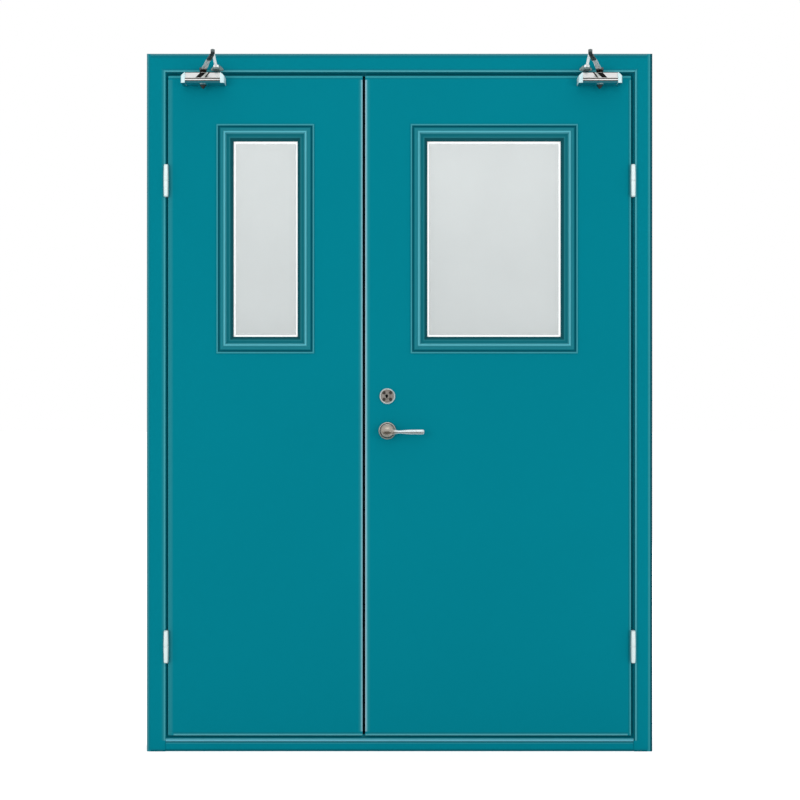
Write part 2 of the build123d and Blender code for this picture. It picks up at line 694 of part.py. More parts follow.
for side, sign in SIDES:
    pinion_x = sign * (rebate_x - edge_gap / 2 - PINION_REACH[side])
    body_x = pinion_x - sign * closer_body_shift
    elbow_x = pinion_x - sign * elbow_run
    shoe_x = pinion_x - sign * shoe_run

    with BuildPart() as closer:
        with BuildSketch(Plane.YZ.offset(body_x)):
            with BuildLine():
                Polyline(
                    (body_back, closer_bottom),
                    (body_front + bead_bottom - closer_bottom, closer_bottom),
                    (body_front, bead_bottom),
                    (body_front, groove_bottom),
                    (body_front + closer_groove_depth, groove_bottom),
                    (body_front + closer_groove_depth, groove_top),
                    (body_front, groove_top),
                    (body_front, bevel_foot),
                    (body_front + closer_bevel_depth, closer_top),
                    (body_back, closer_top),
                    close=True,
                )
            make_face()
        extrude(amount=body_length / 2, both=True)
        plate_height = leaf_top - closer_plate_margin - closer_bottom
        with BuildSketch(point_plane(body_x, front_y, closer_bottom + plate_height / 2, -1)):
            Rectangle(closer_length - 2 * closer_plate_margin, plate_height)
        extrude(amount=closer_plate)
        with BuildSketch(Plane.XY.offset(closer_top)):
            with Locations((pinion_x, pinion_y)):
                Circle(pinion_boss_radius)
        extrude(amount=pinion_boss_height)
        with BuildSketch(Plane.XY.offset(closer_top)):
            with Locations((pinion_x, pinion_y)):
                Circle(pinion_radius)
        extrude(amount=pinion_boss_height + arm_hub_height - arm_top_cap)
        with BuildSketch(Plane.XY.offset(closer_bottom)):
            with Locations((pinion_x, pinion_y)):
                RegularPolygon(pinion_cap_radius, pinion_cap_sides)
        extrude(amount=-pinion_cap_height)
        tip = closer.faces().sort_by(Axis.Z)[0]
        tip_height = pinion_cap_height - pinion_cap_rim
        chamfer(tip.edges(), length=pinion_cap_inset, length2=tip_height, reference=tip)
    finish(closer, f"{side}_closer_body")

    with BuildPart() as caps:
        cap_front = body_front - closer_cap_proud
        for end in (-1, 1):
            end_x = body_x + end * body_length / 2
            with BuildSketch(point_plane(end_x, cap_front, closer_bottom, -1)):
                with BuildLine():
                    Polyline(
                        (0, -closer_cap_proud),
                        (end * closer_cap_length, -closer_cap_proud),
                        (end * closer_cap_length, closer_cap_height),
                        (0, closer_height - closer_cap_proud),
                        close=True,
                    )
                make_face()
            extrude(amount=cap_front - body_back)
        upright = caps.edges().filter_by(Axis.Z).group_by(Axis.Y)[0].sort_by(Axis.X)
        chamfer([upright[0], upright[-1]], length=closer_cap_chamfer)
    finish(caps, f"{side}_closer_caps")

    along_main = Vector(elbow_x - pinion_x, elbow_y - pinion_y, 0)
    main_length = along_main.length
    with BuildPart() as main_arm:
        arm_plane = Plane(origin=(pinion_x, pinion_y, hub_bottom), x_dir=along_main, z_dir=(0, 0, 1))
        with BuildSketch(arm_plane):
            with Locations((main_length, 0)):
                Circle(elbow_eye_radius)
            with BuildLine():
                Polyline(
                    (0, arm_root_width / 2),
                    (main_length, arm_waist / 2),
                    (main_length, -arm_waist / 2),
                    (0, -arm_root_width / 2),
                    close=True,
                )
            make_face()
        extrude(amount=arm_rise + arm_thickness)
        beside_arm = along_main.cross(Vector(0, 0, 1))
        joggle = Plane(origin=(pinion_x, pinion_y, hub_bottom), x_dir=along_main, z_dir=beside_arm)
        arm_end = main_length + elbow_eye_radius
        with BuildSketch(joggle):
            with BuildLine():
                Polyline(
                    (0, 0),
                    (arm_joggle_at, 0),
                    (arm_joggle_at + arm_joggle_run, arm_rise),
                    (arm_end, arm_rise),
                    (arm_end, arm_rise + arm_thickness),
                    (arm_joggle_at + arm_joggle_run, arm_rise + arm_thickness),
                    (arm_joggle_at, arm_thickness),
                    (0, arm_thickness),
                    close=True,
                )
            make_face()
        extrude(amount=arm_root_width, both=True, mode=Mode.INTERSECT)
        with BuildSketch(arm_plane):
            Circle(arm_hub_radius)
        extrude(amount=arm_hub_height)
        with BuildSketch(arm_plane):
            Circle(pinion_radius + running_clearance)
        extrude(amount=arm_hub_height - arm_top_cap, mode=Mode.SUBTRACT)
    finish(main_arm, f"{side}_main_arm")

    along_forearm = Vector(elbow_x - shoe_x, elbow_y - shoe_y, 0)
    forearm_length = along_forearm.length
    with BuildPart() as forearm:
        bar_plane = Plane(origin=(shoe_x, shoe_y, forearm_bottom), x_dir=along_forearm, z_dir=(0, 0, 1))
        with BuildSketch(bar_plane):
            Circle(shoe_eye_radius)
            with Locations((forearm_length, 0)):
                Circle(elbow_eye_radius)
            with Locations((forearm_length / 2, 0)):
                Rectangle(forearm_length, forearm_waist)
            Circle(shoe_pin_radius + running_clearance, mode=Mode.SUBTRACT)
        extrude(amount=forearm_thickness)
    finish(forearm, f"{side}_forearm")

    with BuildPart() as shoe:
        with BuildSketch(Plane.XY.offset(lug_top - shoe_lug_thickness)):
            with Locations((shoe_x, shoe_y)):
                Circle(shoe_lug_radius)
            with Locations((shoe_x, (front_y + shoe_y) / 2)):
                Rectangle(2 * shoe_lug_radius, shoe_proud)
        extrude(amount=shoe_lug_thickness)
        shoe_middle = head_z + shoe_edge + shoe_height / 2
        with BuildSketch(point_plane(shoe_x, front_y, shoe_middle, -1)) as shoe_face:
            Rectangle(shoe_width, shoe_height)
            chamfer(shoe_face.vertices().group_by(Axis.Y)[-1], length=shoe_shoulder)
            chamfer(shoe_face.vertices().group_by(Axis.Y)[0], length=shoe_corner)
        extrude(amount=shoe_plate)
        with BuildSketch(Plane.XY.offset(lug_top)):
            with Locations((shoe_x, shoe_y)):
                Circle(shoe_pin_radius)
        extrude(amount=seat_clearance + forearm_thickness)
    finish(shoe, f"{side}_closer_shoe")
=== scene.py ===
import math

import bmesh
import bpy
from mathutils import Matrix, Vector


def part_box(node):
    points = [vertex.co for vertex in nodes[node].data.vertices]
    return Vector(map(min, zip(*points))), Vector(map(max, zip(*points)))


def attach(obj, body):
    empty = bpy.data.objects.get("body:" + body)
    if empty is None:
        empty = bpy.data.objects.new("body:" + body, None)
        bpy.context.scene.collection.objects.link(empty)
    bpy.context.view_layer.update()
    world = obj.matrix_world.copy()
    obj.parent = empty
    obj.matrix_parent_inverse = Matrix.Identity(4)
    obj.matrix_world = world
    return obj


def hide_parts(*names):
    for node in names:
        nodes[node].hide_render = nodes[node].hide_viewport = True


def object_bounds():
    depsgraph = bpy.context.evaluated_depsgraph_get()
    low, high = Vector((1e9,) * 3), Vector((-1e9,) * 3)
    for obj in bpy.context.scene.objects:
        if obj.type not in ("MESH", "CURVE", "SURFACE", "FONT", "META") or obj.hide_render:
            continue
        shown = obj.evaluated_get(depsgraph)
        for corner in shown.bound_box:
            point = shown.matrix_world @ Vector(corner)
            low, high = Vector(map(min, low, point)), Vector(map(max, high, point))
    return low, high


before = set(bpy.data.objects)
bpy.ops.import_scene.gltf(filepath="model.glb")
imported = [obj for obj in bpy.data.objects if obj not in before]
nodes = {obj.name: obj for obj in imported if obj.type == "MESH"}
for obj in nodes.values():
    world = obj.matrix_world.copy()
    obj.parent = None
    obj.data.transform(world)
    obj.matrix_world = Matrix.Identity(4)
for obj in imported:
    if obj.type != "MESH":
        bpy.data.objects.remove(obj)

# Looks of the double fire door: paint, glass and metal on the fixed frame, and the fittings as smooth meshes.
# Metres, in the frame of the CAD model: X to the right, Y away from the viewer, Z up.

cad_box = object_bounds()
scene = bpy.context.scene

SIDES = (("left", -1), ("right", 1))
FACES = (("front", -1), ("back", 1))

# Turned forms, rounded corners and sharp edges
TURNED_SEGMENTS = 72
ON_AXIS = 1e-7
NEARLY_UPRIGHT = 0.9
CORNER_SHARE = 0.45
SHARP_ANGLE = math.radians(38)

# Screw heads, in shares of their radius and height; the size of a screw or rivet is its radius and height
CROSS_REACH = 0.58
CROSS_HALF = 0.15
SCREW_EDGE = 0.3
SCREW_FLOOR = 0.15
SCREW_FLOOR_RADIUS = 0.8

# Colours, linear
TEAL = (0.0005, 0.212, 0.275)
TEAL_DARK = (0.0008, 0.150, 0.195)
# Painted teal reflection of the leaf and painted shade on the closers' undersides
REFLECTED_TEAL_UNDER = (0.002, 0.180, 0.235)
SHADE_UNDER = (0.004, 0.150, 0.190)
BROWN_UNDER = (0.014, 0.014, 0.012)
BROWN_TOP = (0.020, 0.018, 0.016)
# Tones of the painted highlight and shade lines on the edges of leaves and frame
SHADE = (0.001, 0.070, 0.095)
DULL = (0.003, 0.172, 0.222)
SOFT = (0.018, 0.232, 0.280)
LIGHT = (0.036, 0.300, 0.352)
PALE = (0.062, 0.345, 0.400)
BRIGHT = (0.098, 0.400, 0.455)
# The brightest painted highlight, on the meeting edges
EDGE_HIGHLIGHT = (0.230, 0.455, 0.540)
PALEST = (0.360, 0.580, 0.660)
GREYED = (0.070, 0.235, 0.275)
BARREL_FLANK_SHADE = (0.13, 0.25, 0.26)
# Glass tint at the bottom and at the top; the rise between them is painted light
GLASS_LOW = (0.79, 0.83, 0.83)
GLASS_HIGH = (0.89, 0.93, 0.93)
FLOOR_GREY = (0.80, 0.80, 0.80)
FLAG_BROWN = (0.070, 0.052, 0.036)
WHITE = (1, 1, 1)

# Painted highlight and shade lines on the edges of leaves and frame, and a painted shadow at the jambs' foot,
# by the distance from the edge
LEAF_EDGES = {
    "left": {
        "meeting": ((0.0030, EDGE_HIGHLIGHT), (0.0048, BRIGHT), (0.0070, SOFT), (0.0140, TEAL)),
        "hinge": ((0.0005, PALE), (0.0030, SOFT), (0.0090, SOFT), (0.0165, TEAL)),
    },
    "right": {
        "meeting": ((0.0015, PALEST), (0.0036, EDGE_HIGHLIGHT), (0.0054, BRIGHT), (0.0076, SOFT), (0.0165, TEAL)),
        "hinge": ((0.0032, PALE), (0.0050, SOFT), (0.0075, DULL), (0.0105, TEAL)),
    },
}
LEAF_FOOT = ((0.0045, BRIGHT), (0.0062, SOFT), (0.0095, DULL), (0.0130, TEAL))
LEAF_TOP = ((0.0030, SHADE), (0.0048, LIGHT), (0.0082, LIGHT), (0.0102, DULL), (0.0150, TEAL))
LEFT_JAMB_EDGE = ((0.0005, SOFT), (0.0020, PALE), (0.0042, PALE), (0.0065, SOFT), (0.0135, TEAL))
RIGHT_JAMB_EDGE = ((0.0034, SHADE), (0.0054, PALE), (0.0086, PALE), (0.0104, DULL), (0.0165, TEAL))
HEAD_EDGE = ((0.0010, SHADE), (0.0026, BRIGHT), (0.0048, PALE), (0.0080, DULL), (0.0125, TEAL))
OUTER_LEFT_EDGE = ((0.0035, GREYED), (0.0060, SOFT), (0.0085, DULL), (0.0115, TEAL))
OUTER_RIGHT_EDGE = ((0.0062, SHADE), (0.0084, LIGHT), (0.0102, LIGHT), (0.0122, SOFT), (0.0155, TEAL))
OUTER_TOP_EDGE = ((0.0040, GREYED), (0.0070, DULL), (0.0120, DULL), (0.0150, TEAL))
JAMB_FOOT = ((0.0010, SHADE), (0.0050, DULL), (0.0100, TEAL))

# Painted shade in the grooves and painted highlights on the crests across a glazing frame, by the distance
# from its outer edge
MOULDING_TONES = (
    (0.0005, (0.055, 0.320, 0.375)),
    (0.0034, (0.040, 0.290, 0.345)),
    (0.0050, (0.0006, 0.075, 0.105)),
    (0.0095, (0.0010, 0.095, 0.125)),
    (0.0130, (0.016, 0.215, 0.265)),
    (0.0205, (0.020, 0.230, 0.280)),
    (0.0235, (0.115, 0.480, 0.560)),
    (0.0265, (0.090, 0.420, 0.500)),
    (0.0310, (0.006, 0.150, 0.185)),
    (0.0365, (0.007, 0.145, 0.180)),
    (0.0395, (0.020, 0.190, 0.225)),
    (0.0425, (0.006, 0.085, 0.105)),
    (0.0495, (0.010, 0.075, 0.090)),
)

# Painted highlight on the nosing and painted shade below it and at the foot, up the front of the sill
SILL_TONES = (
    (0.001, (0.001, 0.110, 0.145)),
    (0.006, (0.001, 0.140, 0.180)),
    (0.009, TEAL),
    (0.022, TEAL),
    (0.025, (0.030, 0.270, 0.330)),
    (0.0272, (0.002, 0.105, 0.140)),
    (0.0295, (0.002, 0.105, 0.140)),
    (0.0312, (0.180, 0.540, 0.650)),
    (0.0345, (0.180, 0.540, 0.650)),
    (0.0365, (0.060, 0.310, 0.380)),
)

# Where one tone gives way to another: along the normal's Y, a place or a distance
FOLD = (0.25, 0.55)
OUTER_FOLD = (0.05, 0.2)
EDGE_FADE = 0.0004
REBATE_EDGE = (-0.0015, -0.0005)
ABOVE_SILL = (0.031, 0.034)
MITRE_FADE = 0.0003
MIDDLE_FADE = 0.001
GAP_REACH = (0.004, 0.003)
GAP_SIDES = (0.6, 0.2)
SILL_FRONT = (-0.049, -0.052)
SILL_GAP = (-0.052, -0.048)

# Paint and glass; the scale of a noise is in 1/m
NOISE_RANGE = (0.3, 0.7)
DRIFT_SCALE = 2.2
DRIFT_SHARE = 0.10
GLOSS_SCALE = 9.0
PAINT_ROUGHNESS = (0.36, 0.46)
PAINT_SHINE = 0.012
PEEL_SCALE = 900.0
PEEL_STRENGTH = 0.10
PEEL_DEPTH = 0.0004
# Heights over which the glass's painted light rises
GLASS_HEIGHTS = (1.25, 1.84)
CLOUD_SCALE = 5.0
CLOUD_RANGE = (-0.15, 0.15)
RIPPLE_SCALE = 40.0
GLASS_ROUGHNESS = (0.01, 0.04)
GLASS_SHINE = 0.2
GLASS_CLEARNESS = 0.6
GLASS_IOR = 1.5

# Boards, rubber and metal
MATTE_SPREAD = 0.06
MATTE_BUMP = 0.3
METAL_GRAIN = 700.0
METAL_DRIFT = 30.0
METAL_GLOSS_DROP = 0.05
METAL_GLOSS_RISE = 0.07
METAL_BUMP = 0.08
GRAIN_DEPTH = 0.0002
METAL_EDGE = 0.0006
BEVEL_SAMPLES = 6
ALONG_X = (0.05, 1, 1)
ALONG_Z = (1, 1, 0.05)
EVEN = (1, 1, 1)

# Parts of a metal piece with painted shade, reflection or highlight, or a darker tone: limits of the normal,
# or an axis and the change's length
FLANK = (0.42, 0.98)
UNDER_SLOPE = (-0.12, -0.32)
UNDER_FLAT = (-0.86, -0.97)
PLACED_TONES = (
    ("above", "Z", 0.0006),
    ("below", "Z", -0.0006),
    ("beyond", "Y", -0.012),
    ("behind", "Y", 0.016),
    ("beside", "X", 0.012),
)

# Rose
ROSE_BORE_GAP = 0.0003
ROSE_BORE_CHAMFER = 0.001
ROSE_SIDE = 0.55
ROSE_SHOULDER = 0.0022
ROSE_SHOULDER_RISE = 0.92
ROSE_RIM_DROP = 0.0002
ROSE_GROOVE_RADIUS = 0.0215
ROSE_GROOVE_WIDTH = 0.0022
ROSE_GROOVE_DEPTH = 0.0032
ROSE_FIELD_DROP = 0.0010
ROSE_CROWN = 0.6
ROSE_CROWN_DROP = 0.0003
ROSE_EDGE_ROUND = 0.0018
# The dark ring in the rose's groove, which paints its shade
ROSE_RING_SINK = 0.0002
ROSE_RING_DROP = 0.0012

# Lever; the grip's sections hold the reach from the hub's axis, half the height and half the depth
LEVER_NECK_RADIUS = 0.0098
DOME_RADIUS = 0.0193
DOME_FOOT = 0.017
DOME_SIDE = 0.024
DOME_SPRING = 0.0425
DOME_TOP = 0.0498
DOME_STEPS = 20
GRIP_DROP = 0.003
GRIP_AXIS = 0.038
GRIP_SECTIONS = (
    (0.004, 0.0125, 0.0100),
    (0.012, 0.0118, 0.0075),
    (0.022, 0.0084, 0.0056),
    (0.034, 0.0054, 0.0043),
    (0.048, 0.0064, 0.0045),
    (0.064, 0.0077, 0.0047),
    (0.090, 0.0082, 0.0048),
    (0.104, 0.0083, 0.0047),
    (0.109, 0.0073, 0.0040),
    (0.1108, 0.0045, 0.0024),
)
GRIP_SQUARENESS = 2.1
LEVER_VOXEL = 0.0007
LEVER_SMOOTHING = 10
NECK_FADE = 0.009

# Cylinder escutcheon
CYLINDER_RIM = 0.0042
CYLINDER_FIELD = 0.0050
RIM_LAP = 0.001
RIM_SIDE = 0.5
RIM_SHOULDER = 0.0012
RIM_SHOULDER_RISE = 0.9
RIM_FOOT = 0.004
RIM_ROUND = 0.0012
FIELD_THICKNESS = 0.0022
FIELD_EDGE = 0.0003
POCKET_RADIUS = 0.0049
POCKET_REACH = 0.0143
PLUG_RADIUS = 0.0085
PLUG_GAP = 0.0004
PLUG_PROUD = 0.001
PLUG_THICKNESS = 0.004
PLUG_EDGE = 0.0004
# Dark discs under the cylinder's pockets and keyway, which paint their shade
RECESS_GAP = 0.0005
RECESS_HEIGHTS = (0.0004, 0.0018)
KEYWAY_ROUND = 0.0045
KEYWAY_WIDTH = 0.0048
KEYWAY_HEIGHT = 0.0112
KEYWAY_ASIDE = 0.0018
KEYWAY_STEPS = 24
# The keyway's dark floor disc, which paints its shade
KEYWAY_FLOOR_INSET = 0.001
KEYWAY_FLOOR_HEIGHTS = (0.0019, 0.0040)

# Hinges; a barrel's profile holds radii and shares of half the hinge's height, its cap what rises above that
HINGE_HEIGHT = 0.096
KNUCKLE_RADIUS = 0.007
KNUCKLE_SPLIT = 0.0004
WASHER_BORE = 0.0044
WASHER_RADIUS = 0.0066
HINGE_PLATE = 0.002
HINGE_PLATE_ASIDE = 0.0035
HINGE_PLATE_INSET = 0.004
HINGE_SCREW_HEIGHTS = (-0.36, -0.12, 0.12, 0.36)
HINGE_SCREW_DEPTHS = (0.3, 0.75)
HINGE_SCREW = (0.0036, 0.0006)
BARREL_BORE = 0.00703
BARREL_PROFILE = ((0.0082, 0), (0.0082, 0.25), (0.0078, 0.65), (0.0074, 0.96))
BARREL_CAP = ((0.005328, 0.00028), (0, 0.0004))
BARREL_ROUND = 0.0015
BARREL_FLOOR = 0.0001

# Gaps round the leaves
EDGE_GAP = 0.007
MEETING_BEVEL = 0.04
# Strength of the painted light: a faint glow inside the gaps
GAP_GLOW = 0.17
FIN_ROOT = 0.0005
FIN_CLEARANCE = 0.00005
FIN_THICKNESS = 0.0008

# Closer bodies
CAP_PROUD = 0.001
CAP_LENGTH = 0.012
BEVEL_HEIGHT = 0.0175
BEVEL_DEPTH = 0.012
BODY_LIP = 0.001
BODY_GROOVE = 0.003
BODY_BEAD = 0.006
BOSS_FADE = 0.0004
CONE_RING = 0.002
# The dark inlay and trim strip, which paint shade in the groove and under the bead
INLAY_END_GAP = 0.0006
INLAY_SIDE_GAP = 0.0002
INLAY_CORNER = 0.0003
INLAY_THICKNESS = 0.0020
INLAY_EDGE = 0.0002
INLAY_DEPTH = 0.0022
TRIM_HEIGHT = 0.0024
TRIM_THICKNESS = 0.0003
TRIM_EDGE = 0.0001
VALVE_DEPTHS = (0.016, 0.028)
VALVE_RISE = 0.010
VALVE_SCREW = (0.0030, 0.0006)

# Slats across a closer's bevel, which paint the main arm's shadow, its reflection and a shade line: name,
# offset at the top and at the foot (towards the hinge), half width, thickness and look
SLATS = (
    ("arm_shadow_slat", -0.0005, 0.0115, 0.0080, 0.0003, "black_recess"),
    ("arm_reflection_rib", -0.0130, -0.0030, 0.0036, 0.0011, "pale_rib"),
    ("arm_shade_line", -0.0192, -0.0092, 0.0022, 0.0003, "dark_bronze"),
)
SLAT_END_GAP = 0.0001
SLAT_EDGE = 0.3

# Closer arms; the dark sleeve paints shade on the arm, and its ends are shares of the arm's length
ARM_HUB_RADIUS = 0.011
ARM_EYE_RADIUS = 0.006
ARM_RISE = 0.003
ARM_ROOT_WIDTH = 0.016
ARM_WAIST = 0.008
LUG_RADIUS = 0.009
SLEEVE_ENDS = (0.62, 0.94)
SLEEVE_GAP = 0.0001
SLEEVE_WALL = 0.0010
SLEEVE_BELOW = 0.0012
SLEEVE_ABOVE = 0.0042
ELBOW_RIVET = (0.0048, 0.0014)
ARM_RIVET = (0.0046, 0.0020)
SHOE_RIVET = (0.0068, 0.0026)
HUB_WASHER_RADIUS = 0.0078
HUB_WASHER_THICKNESS = 0.0005
HUB_WASHER_EDGE = 0.0001
HUB_SOCKET_RADIUS = 0.0042
SHOE_PLATE = 0.004
SHOE_SCREW_ASIDE = 0.0135
SHOE_SCREW_RISE = 0.0060
SHOE_SCREW = (0.0026, 0.0009)

# Screws on the meeting edges
FOREND_THICKNESS = 0.003
EDGE_SCREW_INSET = 0.010
EDGE_SCREW = (0.0036, 0.0007)

# Studio; a light holds its name, place, target, size and power
AMBIENT = 0.66
GLOSSY_SHARE = 0.80
FLOOR_GLOW = 0.60
FLOOR_HALF = 40.0
FLOOR_ROUGHNESS = 0.9
FLAG = (-3.0, 3.0, -9.0, -1.3)
FLAG_HEIGHT = 0.002
SENSOR = 36.0
FIELD_AT_FRONT = 2.407
CAMERA_PLACE = (0.0012, -4.055, 1.0574)
LIGHTS = (
    ("key_softbox", (-3.4, -6.0, 1.9), (0, 0, 1.0), (3.4, 3.4), 110.0),
    ("strip_softbox", (0, -6.0, 4.7), (0, 0, 1.0), (5.0, 1.2), 24.0),
    ("fill_softbox", (3.8, -6.0, 1.7), (0, 0, 1.0), (2.6, 3.0), 78.0),
    ("top_softbox", (0, -1.3, 4.6), (0, -0.3, 1.6), (3.2, 2.2), 5.0),
    ("back_softbox", (1.5, 4.6, 3.4), (0, 0, 1.0), (2.6, 2.6), 150.0),
)
SHINING_LIGHT = "strip_softbox"

# Places taken from the frame
closer_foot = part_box("left_closer_caps")[0].z
closer_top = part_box("left_closer_caps")[1].z + CAP_PROUD
rose_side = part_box("front_lever_rose")[1].x
leaf_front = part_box("left_leaf_front_skin")[0].y

# Looks of metal: two tones, roughness, direction of the grain, and further settings
BARREL_TONES = ((0.76, 0.90, 0.90), (0.84, 0.97, 0.97))
METALS = {
    "hinge_steel": ((0.80, 0.82, 0.82), (0.90, 0.92, 0.92), 0.34, ALONG_Z, {}),
    # Barrels: painted shade on the flank towards the leaf
    "left_barrel": (*BARREL_TONES, 0.36, ALONG_Z, dict(metallic=0.15, flank=(1, BARREL_FLANK_SHADE))),
    "right_barrel": (*BARREL_TONES, 0.36, ALONG_Z, dict(metallic=0.15, flank=(-1, BARREL_FLANK_SHADE))),
    # Closer body: painted shade on its under slopes, a painted teal reflection of the leaf under it, darker
    # above and below
    "closer_silver": (
        (0.92, 0.92, 0.91), (0.99, 0.99, 0.98), 0.30, ALONG_X,
        dict(under_slope=SHADE_UNDER, under_flat=REFLECTED_TEAL_UNDER, above=(closer_top + BOSS_FADE, BROWN_TOP),
             below=(closer_foot - CONE_RING, BROWN_UNDER))),
    # End caps: a painted teal reflection of the leaf on their flat undersides
    "cap_silver": (
        (0.62, 0.84, 0.87), (0.72, 0.92, 0.94), 0.36, EVEN, dict(metallic=0.05, under_flat=REFLECTED_TEAL_UNDER)),
    # Main arm: painted shade on its outer part and at its root by the hub
    "main_arm": (
        (0.54, 0.56, 0.55), (0.80, 0.81, 0.80), 0.36, EVEN,
        dict(metallic=0.35, beyond=(-0.190, (0.016, 0.026, 0.028)), behind=(-0.112, (0.10, 0.10, 0.10)))),
    # Forearm: a painted glow lights its shaded underside, and painted shade darkens it near the elbow
    "forearm": (
        (0.86, 0.88, 0.87), (0.97, 0.98, 0.97), 0.40, EVEN,
        dict(metallic=0.2, glow=0.28, beyond=(-0.246, (0.09, 0.11, 0.11)))),
    "shoe": ((0.15, 0.23, 0.23), (0.26, 0.34, 0.33), 0.42, EVEN, dict(metallic=0.3)),
    # A pale slat that paints the arm's reflection on the closers' bevels
    "pale_rib": ((0.80, 0.84, 0.80), (0.92, 0.95, 0.92), 0.34, EVEN, dict(metallic=0.4)),
    # A dark bronze that paints shade in the closers' grooves, under their beads, on their bevels and round
    # the arms
    "dark_bronze": ((0.030, 0.024, 0.020), (0.06, 0.05, 0.04), 0.4, EVEN, {}),
    # Lever: a painted pale highlight on the neck and grip beyond the rose's side
    "satin_steel": (
        (0.44, 0.40, 0.34), (0.56, 0.52, 0.46), 0.27, ALONG_X,
        dict(beside=(rose_side - NECK_FADE, (0.78, 0.88, 0.91)))),
    "pale_steel": ((0.56, 0.54, 0.50), (0.70, 0.68, 0.64), 0.26, EVEN, {}),
    "lock_steel": ((0.52, 0.52, 0.50), (0.66, 0.66, 0.64), 0.34, ALONG_Z, {}),
    # Cylinder rim: painted shade on its left flank
    "rim_steel": (
        (0.74, 0.80, 0.79), (0.88, 0.94, 0.93), 0.24, EVEN,
        dict(metallic=0.6, flank=(-1, (0.20, 0.24, 0.24)))),
    "cast_field": ((0.24, 0.21, 0.18), (0.56, 0.53, 0.49), 0.40, EVEN, {}),
}

# Looks of boards, rubber and sealant: two tones, scale of the grain, roughness, and further settings
MATTES = {
    "core_board": ((0.50, 0.48, 0.42), (0.68, 0.66, 0.60), 260.0, 0.85, {}),
    # The sealant's glow is painted light that keeps it white in the moulding's shade
    "white_sealant": ((0.88, 0.89, 0.89), (0.95, 0.96, 0.96), 300.0, 0.55, dict(glow=0.32)),
    "seal_rubber": ((0.0006, 0.0012, 0.0020), (0.0015, 0.0025, 0.0040), 500.0, 0.8, dict(shine=0.0)),
    "stop_rubber": ((0.0010, 0.150, 0.195), (0.0012, 0.200, 0.260), 500.0, 0.8, dict(shine=0.0)),
    # A brown that paints shade in the rose's groove and under the cylinder's pockets
    "brown_pocket": ((0.05, 0.042, 0.036), (0.10, 0.085, 0.075), 400.0, 0.6, {}),
    # A black that paints shade in the keyways and the arm's shadow on the closers' bevels
    "black_recess": ((0.004, 0.004, 0.004), (0.014, 0.013, 0.012), 400.0, 0.6, dict(shine=0.05)),
}

# CAD nodes whose look isn't that of their slot, by a part of their name
NODE_LOOKS = {
    "main_arm": "main_arm", "forearm": "forearm", "shoe": "shoe",
    "caps": "cap_silver", "stop_seals": "stop_rubber",
}


# Mesh building blocks

def link_object(obj):
    """Puts an object into the scene."""
    scene.collection.objects.link(obj)
    return obj


def mesh_object(name, bm):
    """Puts a bmesh into the scene as an object, and frees it."""
    mesh = bpy.data.meshes.new(name)
    bm.to_mesh(mesh)
    bm.free()
    return link_object(bpy.data.objects.new(name, mesh))


def final_mesh(obj):
    """The mesh of an object with its modifiers or bevel; the object is removed."""
    depsgraph = bpy.context.evaluated_depsgraph_get()
    mesh = bpy.data.meshes.new_from_object(obj.evaluated_get(depsgraph))
    bpy.data.objects.remove(obj)
    return mesh


def piece(name, bm, body, look):
    """Makes a named piece from a bmesh and lets it ride on a body."""
    bmesh.ops.recalc_face_normals(bm, faces=bm.faces)
    obj = mesh_object(name, bm)
    obj.data.shade_smooth()
    obj.data.set_sharp_from_angle(angle=SHARP_ANGLE)
    obj.data.materials.append(looks[look])
    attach(obj, body)
    return obj


def add_mesh(bm, mesh, matrix):
    """Adds a placed copy of a mesh to a bmesh."""
    mesh.transform(matrix)
    bm.from_mesh(mesh)
    bpy.data.meshes.remove(mesh)


def facing(point, outward):
    """Matrix with local z along outward and local y as near upwards as it can be."""
    z_axis = Vector(outward).normalized()
    up = Vector((0, 0, 1)) if abs(z_axis.z) < NEARLY_UPRIGHT else Vector((0, 1, 0))
    x_axis = up.cross(z_axis).normalized()
    y_axis = z_axis.cross(x_axis)
    rotation = Matrix((x_axis, y_axis, z_axis)).transposed().to_4x4()
    return Matrix.Translation(Vector(point)) @ rotation


def rounded(points, radius, steps=4):
    """An open outline with its corners rounded to a radius, less where a side is short."""
    outline = [Vector(points[0])]
    for before, corner, after in zip(points, points[1:], points[2:]):
        corner = Vector(corner)
        back = Vector(before) - corner
        ahead = Vector(after) - corner
        reach = min(radius, CORNER_SHARE * back.length, CORNER_SHARE * ahead.length)
        start = corner + back.normalized() * reach
        end = corner + ahead.normalized() * reach
        for step in range(steps + 1):
            t = step / steps
            outline.append(start * (1 - t) ** 2 + corner * 2 * t * (1 - t) + end * t ** 2)
    outline.append(Vector(points[-1]))
    return outline


def turned(bm, profile, point, outward, segments=TURNED_SEGMENTS, closed=False):
    """Adds a turned form. The profile holds (radius, height along outward) from the foot on."""
    place = facing(point, outward)
    rings = []
    for radius, height in profile:
        count = segments if radius > ON_AXIS else 1
        turns = [2 * math.pi * i / segments for i in range(count)]
        rings.append([
            bm.verts.new(place @ Vector((radius * math.cos(a), radius * math.sin(a), height)))
            for a in turns
        ])
    pairs = list(zip(rings, rings[1:]))
    if closed:
        pairs.append((rings[-1], rings[0]))
    for lower, upper in pairs:
        for i in range(segments):
            j = (i + 1) % segments
            corners = ((lower, i), (lower, j), (upper, j), (upper, i))
            unique = list(dict.fromkeys(ring[at % len(ring)] for ring, at in corners))
            if len(unique) > 2:
                bm.faces.new(unique)


def disc(bm, radius, foot, top, point, outward):
    """Adds a flat disc between two heights."""
    turned(bm, [(0, top), (radius, top), (radius, foot), (0, foot)], point, outward)


def loft(bm, sections):
    """Adds a closed form through sections that have the same number of points."""
    rings = [[bm.verts.new(point) for point in section] for section in sections]
    count = len(rings[0])
    for near, far in zip(rings, rings[1:]):
        for i in range(count):
            j = (i + 1) % count
            bm.faces.new((near[i], near[j], far[j], far[i]))
    bm.faces.new(rings[0])
    bm.faces.new(rings[-1])


